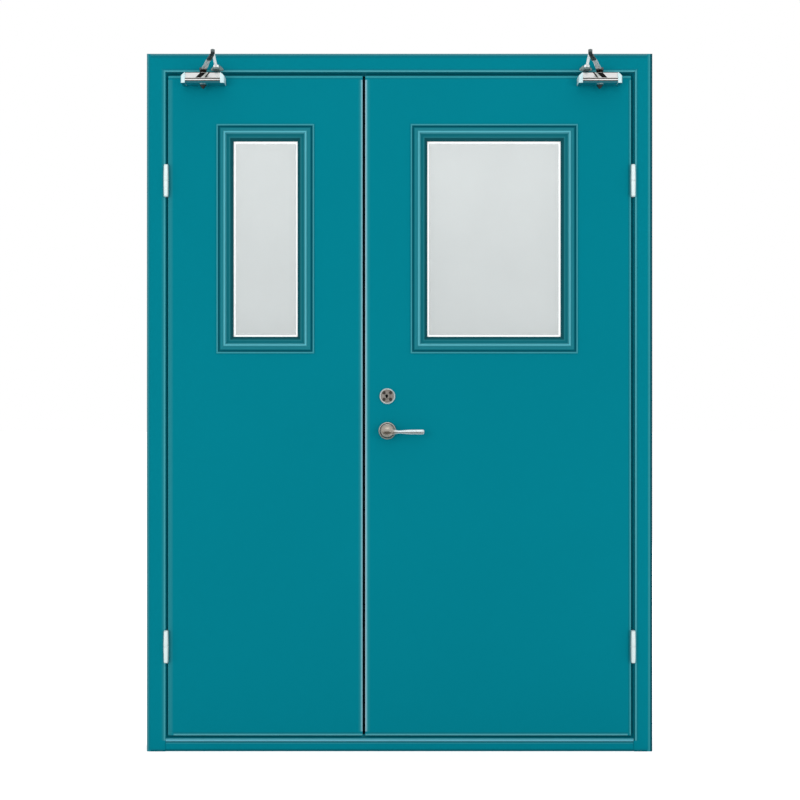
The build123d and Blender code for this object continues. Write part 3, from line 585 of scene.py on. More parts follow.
def circle(radius, centre=(0, 0), count=40):
    """Points of a circle in the plane."""
    turns = [2 * math.pi * i / count for i in range(count)]
    return [(centre[0] + radius * math.cos(a), centre[1] + radius * math.sin(a)) for a in turns]


def rectangle(width, height, corner, steps=6):
    """Points of a rectangle in the plane, with rounded corners."""
    points = []
    quarters = ((1, 1, 0), (-1, 1, 90), (-1, -1, 180), (1, -1, 270))
    for across, up, start in quarters:
        middle = (across * (width / 2 - corner), up * (height / 2 - corner))
        for step in range(steps + 1):
            a = math.radians(start + 90 * step / steps)
            points.append((middle[0] + corner * math.cos(a), middle[1] + corner * math.sin(a)))
    return points


def plate(bm, outlines, thickness, edge, matrix):
    """Adds a flat plate on the local plane. The first outline is its edge, the others are holes."""
    curve = bpy.data.curves.new("plate", "CURVE")
    curve.dimensions = "2D"
    curve.fill_mode = "BOTH"
    curve.extrude = thickness / 2 - edge
    curve.bevel_depth = edge
    curve.bevel_resolution = 2
    curve.offset = -edge
    for outline in outlines:
        spline = curve.splines.new("POLY")
        spline.points.add(len(outline) - 1)
        for point, (x, y) in zip(spline.points, outline):
            point.co = (x, y, 0, 1)
        spline.use_cyclic_u = True
    mesh = final_mesh(link_object(bpy.data.objects.new("plate", curve)))
    add_mesh(bm, mesh, matrix @ Matrix.Translation((0, 0, thickness / 2)))
    bpy.data.curves.remove(curve)


def cross_recess(radius):
    """Outline of the cross in a screw head."""
    arm = CROSS_REACH * radius
    half = CROSS_HALF * radius
    return [
        (arm, half), (half, half), (half, arm), (-half, arm), (-half, half), (-arm, half),
        (-arm, -half), (-half, -half), (-half, -arm), (half, -arm), (half, -half), (arm, -half),
    ]


def screw(bm, point, outward, size):
    """Adds a low screw head with a cross recess."""
    radius, height = size
    outlines = [circle(radius, count=28), cross_recess(radius)]
    plate(bm, outlines, height, SCREW_EDGE * height, facing(point, outward))
    floor_height = SCREW_FLOOR * height
    floor_profile = [(0, floor_height), (SCREW_FLOOR_RADIUS * radius, floor_height)]
    turned(bm, floor_profile, point, outward, segments=20)


def rivet(bm, point, outward, size):
    """Adds a domed rivet head."""
    radius, height = size
    corners = [(radius, 0), (radius, 0.35 * height), (0.7 * radius, 0.9 * height), (0, height)]
    turned(bm, [(0, 0), *rounded(corners, 0.3 * radius)], point, outward, segments=36)


# Shader building blocks

def new_material(name):
    """A material and its Principled surface."""
    material = bpy.data.materials.new(name)
    material.use_nodes = True
    return material, material.node_tree, material.node_tree.nodes["Principled BSDF"]


def feed(tree, node, inputs):
    """Sets inputs of a node. Each is a value, or the socket that it is linked to."""
    for name, value in inputs.items():
        if isinstance(value, bpy.types.NodeSocket):
            tree.links.new(value, node.inputs[name])
        else:
            node.inputs[name].default_value = value


def add_node(tree, kind, inputs=None, **settings):
    """Adds a shader node."""
    node = tree.nodes.new(kind)
    for name, value in settings.items():
        setattr(node, name, value)
    feed(tree, node, inputs or {})
    return node


def opaque(colour):
    """A colour with its alpha, or the socket that it comes from."""
    return colour if isinstance(colour, bpy.types.NodeSocket) else (*colour, 1)


def noise(tree, scale, detail=2.0, stretch=EVEN):
    """Noise in the object's own space, in 1/m."""
    coords = add_node(tree, "ShaderNodeTexCoord")
    placed = add_node(tree, "ShaderNodeMapping", {"Vector": coords.outputs["Object"], "Scale": stretch})
    texture = add_node(
        tree, "ShaderNodeTexNoise", {"Vector": placed.outputs["Vector"], "Scale": scale, "Detail": detail})
    return texture.outputs["Fac"]


def spread(tree, value, low, high, to_low=0.0, to_high=1.0):
    """A value mapped from one range to another, and held at its ends."""
    inputs = {
        "Value": value, "From Min": low, "From Max": high, "To Min": to_low, "To Max": to_high,
    }
    return add_node(tree, "ShaderNodeMapRange", inputs).outputs["Result"]


def maths(tree, operation, first, second=0.0):
    """One step of arithmetic."""
    return add_node(tree, "ShaderNodeMath", {0: first, 1: second}, operation=operation).outputs["Value"]


def blend(tree, factor, first, second):
    """A mix of two colours."""
    inputs = {0: factor, 6: opaque(first), 7: opaque(second)}
    return add_node(tree, "ShaderNodeMix", inputs, data_type="RGBA").outputs[2]


def tones(tree, place, stops):
    """Colours along a length, from (place, colour) pairs."""
    first, last = stops[0][0], stops[-1][0]
    node = add_node(tree, "ShaderNodeValToRGB", {"Fac": spread(tree, place, first, last)})
    marks = node.color_ramp.elements
    while len(marks) < len(stops):
        marks.new(0.5)
    for mark, (at, _) in zip(marks, stops):
        mark.position = (at - first) / (last - first)
    for mark, (_, colour) in zip(marks, stops):
        mark.color = opaque(colour)
    return node.outputs["Color"]


def axis_parts(tree, source):
    """X, Y and Z of the object's own coordinates or normals."""
    coords = add_node(tree, "ShaderNodeTexCoord")
    return add_node(tree, "ShaderNodeSeparateXYZ", {"Vector": coords.outputs[source]}).outputs


def bump(tree, surface, height, strength, distance, edge=0.0):
    """Links a height to the surface's normal, with edges softened to a radius where one is given."""
    inputs = {"Height": height, "Strength": strength, "Distance": distance}
    if edge:
        soft = add_node(tree, "ShaderNodeBevel", {"Radius": edge}, samples=BEVEL_SAMPLES)
        inputs["Normal"] = soft.outputs["Normal"]
    feed(tree, surface, {"Normal": add_node(tree, "ShaderNodeBump", inputs).outputs["Normal"]})


# Materials

def paint_finish(tree, surface, colour):
    """Satin powder coat: a faint drift of tone, uneven gloss and fine orange peel."""
    drift = spread(tree, noise(tree, DRIFT_SCALE, 3.0), *NOISE_RANGE, 0.0, DRIFT_SHARE)
    feed(tree, surface, {
        "Base Color": blend(tree, drift, colour, TEAL_DARK),
        "Roughness": spread(tree, noise(tree, GLOSS_SCALE), *NOISE_RANGE, *PAINT_ROUGHNESS),
        "Specular IOR Level": PAINT_SHINE,
    })
    bump(tree, surface, noise(tree, PEEL_SCALE, 1.0), PEEL_STRENGTH, PEEL_DEPTH)


def broad_mask(tree, limits=FOLD):
    """1 on faces and folds that look to the front or back, 0 on the edges between them."""
    return spread(tree, maths(tree, "ABSOLUTE", axis_parts(tree, "Normal")["Y"]), *limits)


def lit_gap(tree, surface, mask):
    """Paints light inside a gap: a faint teal glow that lifts it a little out of its shade."""
    glow = maths(tree, "MULTIPLY", mask, GAP_GLOW)
    feed(tree, surface, {"Emission Color": opaque(TEAL), "Emission Strength": glow})


def inset(tree, place, lo, hi):
    """Distance from the nearest edge of an upright rectangle."""
    ways = []
    for axis, low, high in (("X", lo.x, hi.x), ("Z", lo.z, hi.z)):
        reach = maths(tree, "ABSOLUTE", maths(tree, "SUBTRACT", place[axis], (low + high) / 2))
        ways.append(maths(tree, "SUBTRACT", (high - low) / 2, reach))
    return maths(tree, "MINIMUM", *ways)


def painted_edge_lines(tree, colour, distance, stops, mask):
    """Lays painted highlight and shade lines along an edge over a colour."""
    reach = stops[-1][0]
    near = spread(tree, distance, reach + EDGE_FADE, reach)
    return blend(tree, maths(tree, "MULTIPLY", near, mask), colour, tones(tree, distance, stops))


def leaf_paint(side, sign):
    """Paint of a leaf, with painted highlight and shade lines on the folds round it."""
    material, tree, surface = new_material(f"{side}_leaf_paint")
    lo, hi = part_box(f"{side}_leaf_front_skin")
    place = axis_parts(tree, "Object")
    hinge_x, meeting_x = (lo.x, hi.x) if sign < 0 else (hi.x, lo.x)
    edges = (
        (place["X"], meeting_x, LEAF_EDGES[side]["meeting"]),
        (place["Z"], lo.z, LEAF_FOOT),
        (place["X"], hinge_x, LEAF_EDGES[side]["hinge"]),
        (place["Z"], hi.z, LEAF_TOP),
    )
    broad = broad_mask(tree)
    colour = TEAL
    for along, edge, stops in edges:
        distance = maths(tree, "ABSOLUTE", maths(tree, "SUBTRACT", along, edge))
        colour = painted_edge_lines(tree, colour, distance, stops, broad)
    paint_finish(tree, surface, colour)
    return material


def frame_paint():
    """Paint of the frame, with painted highlight lines beside the leaves, painted shade and highlight lines
    along its outer edges, a painted shadow at its foot and painted light in the gaps.
    """
    material, tree, surface = new_material("frame_paint")
    place = axis_parts(tree, "Object")
    _, corner = cad_box
    leaf_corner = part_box("right_leaf_front_skin")[1]
    side = maths(tree, "ABSOLUTE", place["X"])
    from_side = maths(tree, "SUBTRACT", side, leaf_corner.x + EDGE_GAP)
    from_head = maths(tree, "SUBTRACT", place["Z"], leaf_corner.z + EDGE_GAP)
    inner = maths(tree, "MAXIMUM", from_side, from_head)
    forward = maths(tree, "MULTIPLY", axis_parts(tree, "Normal")["Y"], -1.0)
    front = maths(tree, "MULTIPLY", spread(tree, forward, *FOLD), spread(tree, inner, *REBATE_EDGE))
    front = maths(tree, "MULTIPLY", front, spread(tree, place["Z"], *ABOVE_SILL))
    on_head = spread(tree, maths(tree, "SUBTRACT", from_head, from_side), -MITRE_FADE, MITRE_FADE)
    on_jamb = maths(tree, "SUBTRACT", 1.0, on_head)
    on_left = spread(tree, place["X"], MIDDLE_FADE, -MIDDLE_FADE)
    on_right = maths(tree, "SUBTRACT", 1.0, on_left)
    inner_edges = (
        (maths(tree, "MULTIPLY", on_jamb, on_left), LEFT_JAMB_EDGE),
        (maths(tree, "MULTIPLY", on_jamb, on_right), RIGHT_JAMB_EDGE),
        (on_head, HEAD_EDGE),
    )
    colour = TEAL
    for where, stops in inner_edges:
        colour = painted_edge_lines(tree, colour, inner, stops, maths(tree, "MULTIPLY", front, where))
    broad = broad_mask(tree, OUTER_FOLD)
    outer_side = maths(tree, "SUBTRACT", corner.x, side)
    outer_edges = (
        (1.0, maths(tree, "SUBTRACT", corner.z, place["Z"]), OUTER_TOP_EDGE),
        (1.0, place["Z"], JAMB_FOOT),
        (on_left, outer_side, OUTER_LEFT_EDGE),
        (on_right, outer_side, OUTER_RIGHT_EDGE),
    )
    for where, distance, stops in outer_edges:
        colour = painted_edge_lines(tree, colour, distance, stops, maths(tree, "MULTIPLY", broad, where))
    paint_finish(tree, surface, colour)
    near = spread(tree, maths(tree, "ABSOLUTE", inner), *GAP_REACH)
    lit_gap(tree, surface, maths(tree, "MULTIPLY", near, spread(tree, broad_mask(tree), *GAP_SIDES)))
    return material


def sill_paint():
    """Paint of the sill, with a painted highlight on the nosing, painted shade below it and at the foot,
    and painted light in the gap over its tread.
    """
    material, tree, surface = new_material("sill_paint")
    place = axis_parts(tree, "Object")
    front = spread(tree, place["Y"], *SILL_FRONT)
    paint_finish(tree, surface, blend(tree, front, TEAL, tones(tree, place["Z"], SILL_TONES)))
    lit_gap(tree, surface, spread(tree, place["Y"], *SILL_GAP))
    return material


def moulding_paint(side):
    """Paint of a window's glazing frames, with painted shade in the grooves and painted highlights on the
    crests.
    """
    material, tree, surface = new_material(f"{side}_moulding_paint")
    lo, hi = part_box(f"{side}_front_glazing_frame")
    distance = inset(tree, axis_parts(tree, "Object"), lo, hi)
    paint_finish(tree, surface, tones(tree, distance, MOULDING_TONES))
    return material


def glass_finish():
    """Fire glass with a grey tint, faintly clouded, with painted light that makes it lighter towards the top.
    """
    material, tree, surface = new_material("fire_glass_look")
    rise = spread(tree, axis_parts(tree, "Object")["Z"], *GLASS_HEIGHTS)
    cloud = spread(tree, noise(tree, CLOUD_SCALE), *NOISE_RANGE, *CLOUD_RANGE)
    feed(tree, surface, {
        "Base Color": blend(tree, maths(tree, "ADD", rise, cloud), GLASS_LOW, GLASS_HIGH),
        "Roughness": spread(tree, noise(tree, RIPPLE_SCALE), *NOISE_RANGE, *GLASS_ROUGHNESS),
        "Specular IOR Level": GLASS_SHINE,
        "Transmission Weight": GLASS_CLEARNESS,
        "IOR": GLASS_IOR,
    })
    return material


def matte_finish(name, dark, light, scale, roughness, shine=0.2, glow=0.0):
    """Boards, rubber and sealant: two close tones in a fine grain."""
    material, tree, surface = new_material(name)
    grain = noise(tree, scale, 4.0)
    limits = (roughness - MATTE_SPREAD, roughness + MATTE_SPREAD)
    feed(tree, surface, {
        "Base Color": blend(tree, spread(tree, grain, *NOISE_RANGE), dark, light),
        "Roughness": spread(tree, grain, *NOISE_RANGE, *limits),
        "Specular IOR Level": shine,
        "Emission Color": opaque(light),
        "Emission Strength": glow,
    })
    bump(tree, surface, grain, MATTE_BUMP, GRAIN_DEPTH)
    return material


def metal_finish(name, dark, light, roughness, stretch, metallic=1.0, glow=0.0, **parts):
    """Metal with a fine grain and soft edges. Parts may take another tone: painted shade on a flank or a
    sloped underside, a painted reflection on a flat underside, and a tone above, below, beyond, behind or
    beside a place, which paints shade on the arms, a highlight on the lever, and is darker on the closer. A
    glow is painted light."""
    material, tree, surface = new_material(name)
    grain = noise(tree, METAL_GRAIN, 3.0, stretch)
    colour = blend(tree, spread(tree, noise(tree, METAL_DRIFT), *NOISE_RANGE), dark, light)
    normal = axis_parts(tree, "Normal")
    place = axis_parts(tree, "Object")
    metal = metallic
    if "flank" in parts:
        way, tone = parts["flank"]
        colour = blend(tree, spread(tree, maths(tree, "MULTIPLY", normal["X"], way), *FLANK), colour, tone)
    if "under_slope" in parts:
        under = spread(tree, normal["Z"], *UNDER_SLOPE)
        colour = blend(tree, under, colour, parts["under_slope"])
        metal = maths(tree, "SUBTRACT", metallic, under)
    if "under_flat" in parts:
        colour = blend(tree, spread(tree, normal["Z"], *UNDER_FLAT), colour, parts["under_flat"])
    for part, axis, way in PLACED_TONES:
        if part in parts:
            start, tone = parts[part]
            colour = blend(tree, spread(tree, place[axis], start, start + way), colour, tone)
    limits = (roughness - METAL_GLOSS_DROP, roughness + METAL_GLOSS_RISE)
    feed(tree, surface, {
        "Base Color": colour,
        "Metallic": metal,
        "Roughness": spread(tree, grain, *NOISE_RANGE, *limits),
        "Emission Color": colour,
        "Emission Strength": glow,
    })
    bump(tree, surface, grain, METAL_BUMP, GRAIN_DEPTH, edge=METAL_EDGE)
    return material


looks = {
    "left_leaf_paint": leaf_paint("left", -1),
    "right_leaf_paint": leaf_paint("right", 1),
    "frame_paint": frame_paint(),
    "sill_paint": sill_paint(),
    "left_moulding": moulding_paint("left"),
    "right_moulding": moulding_paint("right"),
    "fire_glass": glass_finish(),
}
for finish, table in ((matte_finish, MATTES), (metal_finish, METALS)):
    for look, (*settings, more) in table.items():
        looks[look] = finish(f"{look}_look", *settings, **more)


def look_of(name, slot):
    """The finish of a CAD node."""
    side = name.split("_")[0]
    if "glazing_frame" in name:
        return looks[f"{side}_moulding"]
    if slot == "door_paint":
        if "leaf" in name:
            return looks[f"{side}_leaf_paint"]
        return looks["sill_paint" if name == "sill" else "frame_paint"]
    for part, look in NODE_LOOKS.items():
        if part in name:
            return looks[look]
    return looks[slot]


def dress_nodes():
    """Gives every CAD node its finish."""
    for name, node in nodes.items():
        slot = node.data.materials[0].name
        node.data.materials.clear()
        node.data.materials.append(look_of(name, slot))


# Lever set on both faces of the right leaf

def seat(lo, hi, outward):
    """Middle of the foot of a round fitting on its face of the leaf."""
    return Vector(((lo.x + hi.x) / 2, hi.y if outward < 0 else lo.y, (lo.z + hi.z) / 2))


def grip_sections(root, outward, count=28):
    """Rounded sections of the lever's grip, from inside the hub to the tip."""
    sections = []
    power = 2 / GRIP_SQUARENESS
    for reach, half_height, half_depth in GRIP_SECTIONS:
        ring = []
        for i in range(count):
            a = 2 * math.pi * i / count
            across = math.copysign(abs(math.cos(a)) ** power, math.cos(a))
            up = math.copysign(abs(math.sin(a)) ** power, math.sin(a))
            offset = Vector((reach, outward * GRIP_AXIS + half_depth * across, half_height * up - GRIP_DROP))
            ring.append(root + offset)
        sections.append(ring)
    return sections


def hub_profile():
    """Profile of the lever's neck and domed hub."""
    profile = [(0, 0), (LEVER_NECK_RADIUS, 0), (LEVER_NECK_RADIUS, DOME_FOOT), (DOME_RADIUS, DOME_SIDE)]
    rise = DOME_TOP - DOME_SPRING
    sphere = (DOME_RADIUS ** 2 + rise ** 2) / (2 * rise)
    for step in range(DOME_STEPS):
        radius = DOME_RADIUS * (1 - step / DOME_STEPS)
        profile.append((radius, DOME_TOP - sphere + math.sqrt(sphere ** 2 - radius ** 2)))
    profile.append((0, DOME_TOP))
    return profile


def lever(face, outward):
    """Neck, domed hub and grip, flowed together into one smooth casting."""
    root = seat(*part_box(f"{face}_lever_rose"), outward)
    bm = bmesh.new()
    loft(bm, grip_sections(root, outward))
    turned(bm, hub_profile(), root, (0, outward, 0))
    bmesh.ops.recalc_face_normals(bm, faces=bm.faces)
    rough = mesh_object("lever_parts", bm)
    remesh = rough.modifiers.new("flow", "REMESH")
    remesh.mode = "VOXEL"
    remesh.voxel_size = LEVER_VOXEL
    smooth = rough.modifiers.new("smooth", "SMOOTH")
    smooth.factor = 0.5
    smooth.iterations = LEVER_SMOOTHING
    bm = bmesh.new()
    add_mesh(bm, final_mesh(rough), Matrix.Identity(4))
    made = piece(f"{face}_lever_handle", bm, "lever", "satin_steel")
    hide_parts(f"{face}_lever")


def rose(face, outward):
    """A domed rose with a turned groove inside its rim, and a dark ring in the groove that paints its shade.
    """
    lo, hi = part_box(f"{face}_lever_rose")
    point = seat(lo, hi, outward)
    radius = (hi.x - lo.x) / 2
    height = hi.y - lo.y
    bore = LEVER_NECK_RADIUS + ROSE_BORE_GAP
    groove_floor = height - ROSE_GROOVE_DEPTH
    half = ROSE_GROOVE_WIDTH / 2
    inner, outer = ROSE_GROOVE_RADIUS - half, ROSE_GROOVE_RADIUS + half
    corners = [
        (bore, 0), (radius, 0), (radius, ROSE_SIDE * height),
        (radius - ROSE_SHOULDER, ROSE_SHOULDER_RISE * height), (outer, height - ROSE_RIM_DROP),
        (ROSE_GROOVE_RADIUS + half / 2, groove_floor), (ROSE_GROOVE_RADIUS - half / 2, groove_floor),
        (inner, height - ROSE_FIELD_DROP),
        (ROSE_CROWN * radius, height - ROSE_CROWN_DROP),
        (bore + ROSE_BORE_CHAMFER, height), (bore, height - ROSE_BORE_CHAMFER),
    ]
    bm = bmesh.new()
    turned(bm, rounded(corners, ROSE_EDGE_ROUND), point, (0, outward, 0), closed=True)
    made = piece(f"{face}_rose", bm, "right_leaf", "pale_steel")
    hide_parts(f"{face}_lever_rose")
    # A dark ring sunk in the groove: painted shade
    low, high = groove_floor - ROSE_RING_SINK, height - ROSE_RING_DROP
    ring = [(inner, low), (outer, low), (outer, high), (inner, high)]
    bm = bmesh.new()
    turned(bm, ring, point, (0, outward, 0), closed=True)
    piece(f"{face}_rose_groove_shade", bm, "right_leaf", "brown_pocket")


def pocket_outlines():
    """Outlines of the four screw pockets, on the diagonals of the cylinder's field."""
    outlines = []
    for quarter in range(4):
        a = math.radians(45 + 90 * quarter)
        centre = (POCKET_REACH * math.cos(a), POCKET_REACH * math.sin(a))
        outlines.append(circle(POCKET_RADIUS, centre, count=24))
    return outlines


def keyway_outline(outward):
    """Keyway: a round entry with a slot below it, a little to one side of the plug's middle."""
    points = []
    half = KEYWAY_WIDTH / 2
    aside = outward * KEYWAY_ASIDE
    entry_z = KEYWAY_HEIGHT / 2 - KEYWAY_ROUND
    start = math.asin(half / KEYWAY_ROUND)
    for step in range(KEYWAY_STEPS + 1):
        a = -math.pi / 2 + start + (2 * math.pi - 2 * start) * step / KEYWAY_STEPS
        points.append((aside + KEYWAY_ROUND * math.cos(a), entry_z + KEYWAY_ROUND * math.sin(a)))
    points += [(aside - half, -KEYWAY_HEIGHT / 2), (aside + half, -KEYWAY_HEIGHT / 2)]
    return points


def cylinder(face, outward):
    """An escutcheon with a raised rim, four screw pockets on its diagonals, and the keyed plug; dark discs
    under the pockets and the keyway paint their shade.
    """
    lo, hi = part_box(f"{face}_lock_cylinder")
    point = seat(lo, hi, outward)
    axis = Vector((0, outward, 0))
    radius = (hi.x - lo.x) / 2
    height = hi.y - lo.y - PLUG_PROUD
    field_radius = radius - CYLINDER_RIM
    rim_bore = field_radius - RIM_LAP
    rim = [
        (rim_bore, 0), (radius, 0), (radius, RIM_SIDE * height),
        (radius - RIM_SHOULDER, RIM_SHOULDER_RISE * height), (radius - CYLINDER_RIM / 2, height),
        (field_radius, CYLINDER_FIELD), (rim_bore, RIM_FOOT),
    ]
    bm = bmesh.new()
    turned(bm, rounded(rim, RIM_ROUND), point, axis, closed=True)
    piece(f"{face}_cylinder_rim", bm, "right_leaf", "rim_steel")

    bm = bmesh.new()
    field = [circle(field_radius, count=TURNED_SEGMENTS), circle(PLUG_RADIUS + PLUG_GAP), *pocket_outlines()]
    field_foot = point + axis * (CYLINDER_FIELD - FIELD_THICKNESS)
    plate(bm, field, FIELD_THICKNESS, FIELD_EDGE, facing(field_foot, axis))
    plug = [circle(PLUG_RADIUS, count=56), keyway_outline(outward)]
    plug_foot = point + axis * (height + PLUG_PROUD - PLUG_THICKNESS)
    plate(bm, plug, PLUG_THICKNESS, PLUG_EDGE, facing(plug_foot, axis))
    made = piece(f"{face}_cylinder", bm, "right_leaf", "cast_field")
    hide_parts(f"{face}_lock_cylinder")

    # Dark discs under the screw pockets and the keyway: painted shade
    bm = bmesh.new()
    disc(bm, field_radius - RECESS_GAP, *RECESS_HEIGHTS, point, axis)
    piece(f"{face}_cylinder_pocket_shade", bm, "right_leaf", "brown_pocket")
    bm = bmesh.new()
    disc(bm, PLUG_RADIUS - KEYWAY_FLOOR_INSET, *KEYWAY_FLOOR_HEIGHTS, point, axis)
    piece(f"{face}_keyway_shade", bm, "right_leaf", "black_recess")


# Hinges and meeting edges

def hinge_places(side):
    """Axis in plan and the two middle heights of a leaf's hinges."""
    lo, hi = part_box(f"{side}_frame_hinges")
    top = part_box(f"{side}_leaf_hinges")[1].z
    axis = ((lo.x + hi.x) / 2, lo.y + KNUCKLE_RADIUS)
    return axis, (top - HINGE_HEIGHT / 2, lo.z + HINGE_HEIGHT / 2)


def hinge_trim(side, sign):
    """Split washers and plate screws on a leaf's two hinges."""
    axis, heights = hinge_places(side)
    plate_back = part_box(f"{side}_frame_hinges")[1].y
    plate_front = leaf_front + HINGE_PLATE_INSET
    leaf_x = sign * (abs(axis[0]) - HINGE_PLATE_ASIDE + HINGE_PLATE)
    frame_x = sign * (abs(axis[0]) + HINGE_PLATE_ASIDE - HINGE_PLATE)
    washer = [
        (WASHER_BORE, -KNUCKLE_SPLIT), (WASHER_RADIUS, -KNUCKLE_SPLIT), (WASHER_RADIUS, 0), (WASHER_BORE, 0),
    ]
    frame_bm = bmesh.new()
    leaf_bm = bmesh.new()
    for z in heights:
        turned(frame_bm, washer, (*axis, z), (0, 0, 1), segments=40, closed=True)
        for share in HINGE_SCREW_HEIGHTS:
            for depth in HINGE_SCREW_DEPTHS:
                y = plate_front + (plate_back - plate_front) * depth
                screw_z = z + share * HINGE_HEIGHT
                screw(leaf_bm, (leaf_x, y, screw_z), (sign, 0, 0), HINGE_SCREW)
                screw(frame_bm, (frame_x, y, screw_z), (-sign, 0, 0), HINGE_SCREW)
    piece(f"{side}_frame_hinge_screws", frame_bm, "frame", "hinge_steel")
    piece(f"{side}_leaf_hinge_screws", leaf_bm, f"{side}_leaf", "hinge_steel")


def hinge_barrels(side):
    """Swelling barrels with domed ends over the knuckles: lower halves on the frame, upper on the leaf."""
    axis, heights = hinge_places(side)
    half = HINGE_HEIGHT / 2
    shell = [(BARREL_BORE, KNUCKLE_SPLIT)]
    shell += [(radius, max(KNUCKLE_SPLIT, share * half)) for radius, share in BARREL_PROFILE]
    shell += [(radius, half + rise) for radius, rise in BARREL_CAP]
    outline = [*rounded(shell, BARREL_ROUND), (0, half + BARREL_FLOOR), (BARREL_BORE, half + BARREL_FLOOR)]
    for owner, body, way in (("frame", "frame", -1), ("leaf", f"{side}_leaf", 1)):
        bm = bmesh.new()
        for z in heights:
            turned(bm, outline, (*axis, z), (0, 0, way), segments=48, closed=True)
        piece(f"{side}_{owner}_hinge_barrels", bm, body, f"{side}_barrel")


def seal_fin():
    """The soft fin on the meeting seal, which shuts out the light between the leaves."""
    lo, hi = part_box("meeting_seal")
    leaf_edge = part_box("right_leaf_front_skin")[0]
    middle = (lo.y + hi.y) / 2
    tip = leaf_edge.x + MEETING_BEVEL * (middle - leaf_edge.y) - FIN_CLEARANCE
    root = hi.x - FIN_ROOT
    half = FIN_THICKNESS / 2
    plan = (
        (root, middle - half), (tip - half, middle - half), (tip, middle),
        (tip - half, middle + half), (root, middle + half),
    )
    bm = bmesh.new()
    loft(bm, [[Vector((x, y, z)) for x, y in plan] for z in (lo.z, hi.z)])
    piece("meeting_seal_fin", bm, "left_leaf", "seal_rubber")


def edge_screws():
    """Screws on the forend and the strike plate, on the bevelled meeting edges."""
    for name, body, sign in (("lock_forend", "right_leaf", 1), ("strike_plate", "left_leaf", -1)):
        lo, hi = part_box(name)
        middle = (lo + hi) / 2
        slope = (hi.x - lo.x - FOREND_THICKNESS) / (hi.y - lo.y)
        face_x = middle.x - sign * FOREND_THICKNESS / 2
        bm = bmesh.new()
        for z in (lo.z + EDGE_SCREW_INSET, hi.z - EDGE_SCREW_INSET):
            screw(bm, (face_x, middle.y, z), (-sign, slope, 0), EDGE_SCREW)
        piece(f"{name}_screws", bm, body, "lock_steel")


# Closers

def closer_points(side, sign):
    """Pinion, elbow and shoe pin of a closer, in plan."""
    lo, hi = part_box(f"{side}_main_arm")
    inner, outer = (hi.x, lo.x) if sign < 0 else (lo.x, hi.x)
    pinion = Vector((outer - sign * ARM_HUB_RADIUS, hi.y - ARM_HUB_RADIUS, hi.z))
    elbow = Vector((inner + sign * ARM_EYE_RADIUS, lo.y + ARM_EYE_RADIUS, hi.z))
    shoe_lo, shoe_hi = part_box(f"{side}_closer_shoe")
    shoe = Vector(((shoe_lo.x + shoe_hi.x) / 2, shoe_lo.y + LUG_RADIUS, shoe_lo.z))
    return pinion, elbow, shoe


def bevel_slats(side, sign):
    """Slats across a closer's bevel on the slant: a black one that paints the arm's shadow, a pale one that
    paints its reflection, and a dark one that paints a shade line.
    """
    pinion, _, _ = closer_points(side, sign)
    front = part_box(f"{side}_closer_caps")[0].y + CAP_PROUD
    half = math.hypot(BEVEL_HEIGHT, BEVEL_DEPTH) / 2 - SLAT_END_GAP
    middle = (pinion.x, front + BEVEL_DEPTH / 2, closer_top - BEVEL_HEIGHT / 2)
    place = facing(middle, (0, -BEVEL_HEIGHT, BEVEL_DEPTH))
    for name, top, low, wide, thick, look in SLATS:
        top, low = sign * top, sign * low
        outline = [(low - wide, -half), (low + wide, -half), (top + wide, half), (top - wide, half)]
        bm = bmesh.new()
        plate(bm, [outline], thick, SLAT_EDGE * thick, place)
        piece(f"{side}_{name}", bm, f"{side}_leaf", look)


def body_trim(side):
    """A dark inlay in a closer's groove and a dark trim strip below it, both painted shade, and the valve
    screws on the caps.
    """
    lo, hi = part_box(f"{side}_closer_caps")
    middle_x = (lo.x + hi.x) / 2
    front = lo.y + CAP_PROUD
    length = hi.x - lo.x - 2 * CAP_LENGTH - INLAY_END_GAP
    groove_z = closer_top - BEVEL_HEIGHT - BODY_LIP - BODY_GROOVE / 2
    trim_z = groove_z - BODY_GROOVE / 2 - BODY_BEAD + TRIM_HEIGHT / 2
    # Dark strips in the groove and under the bead: painted shade
    bm = bmesh.new()
    inlay_place = facing((middle_x, front + INLAY_DEPTH, groove_z), (0, -1, 0))
    inlay = rectangle(length, BODY_GROOVE - INLAY_SIDE_GAP, INLAY_CORNER)
    plate(bm, [inlay], INLAY_THICKNESS, INLAY_EDGE, inlay_place)
    trim_place = facing((middle_x, front, trim_z), (0, -1, 0))
    plate(bm, [rectangle(length, TRIM_HEIGHT, INLAY_CORNER)], TRIM_THICKNESS, TRIM_EDGE, trim_place)
    piece(f"{side}_groove_shade_strips", bm, f"{side}_leaf", "dark_bronze")

    bm = bmesh.new()
    for x, outward in ((lo.x, -1), (hi.x, 1)):
        for depth in VALVE_DEPTHS:
            screw(bm, (x, lo.y + depth, lo.z + VALVE_RISE), (outward, 0, 0), VALVE_SCREW)
    piece(f"{side}_valve_screws", bm, f"{side}_leaf", "closer_silver")


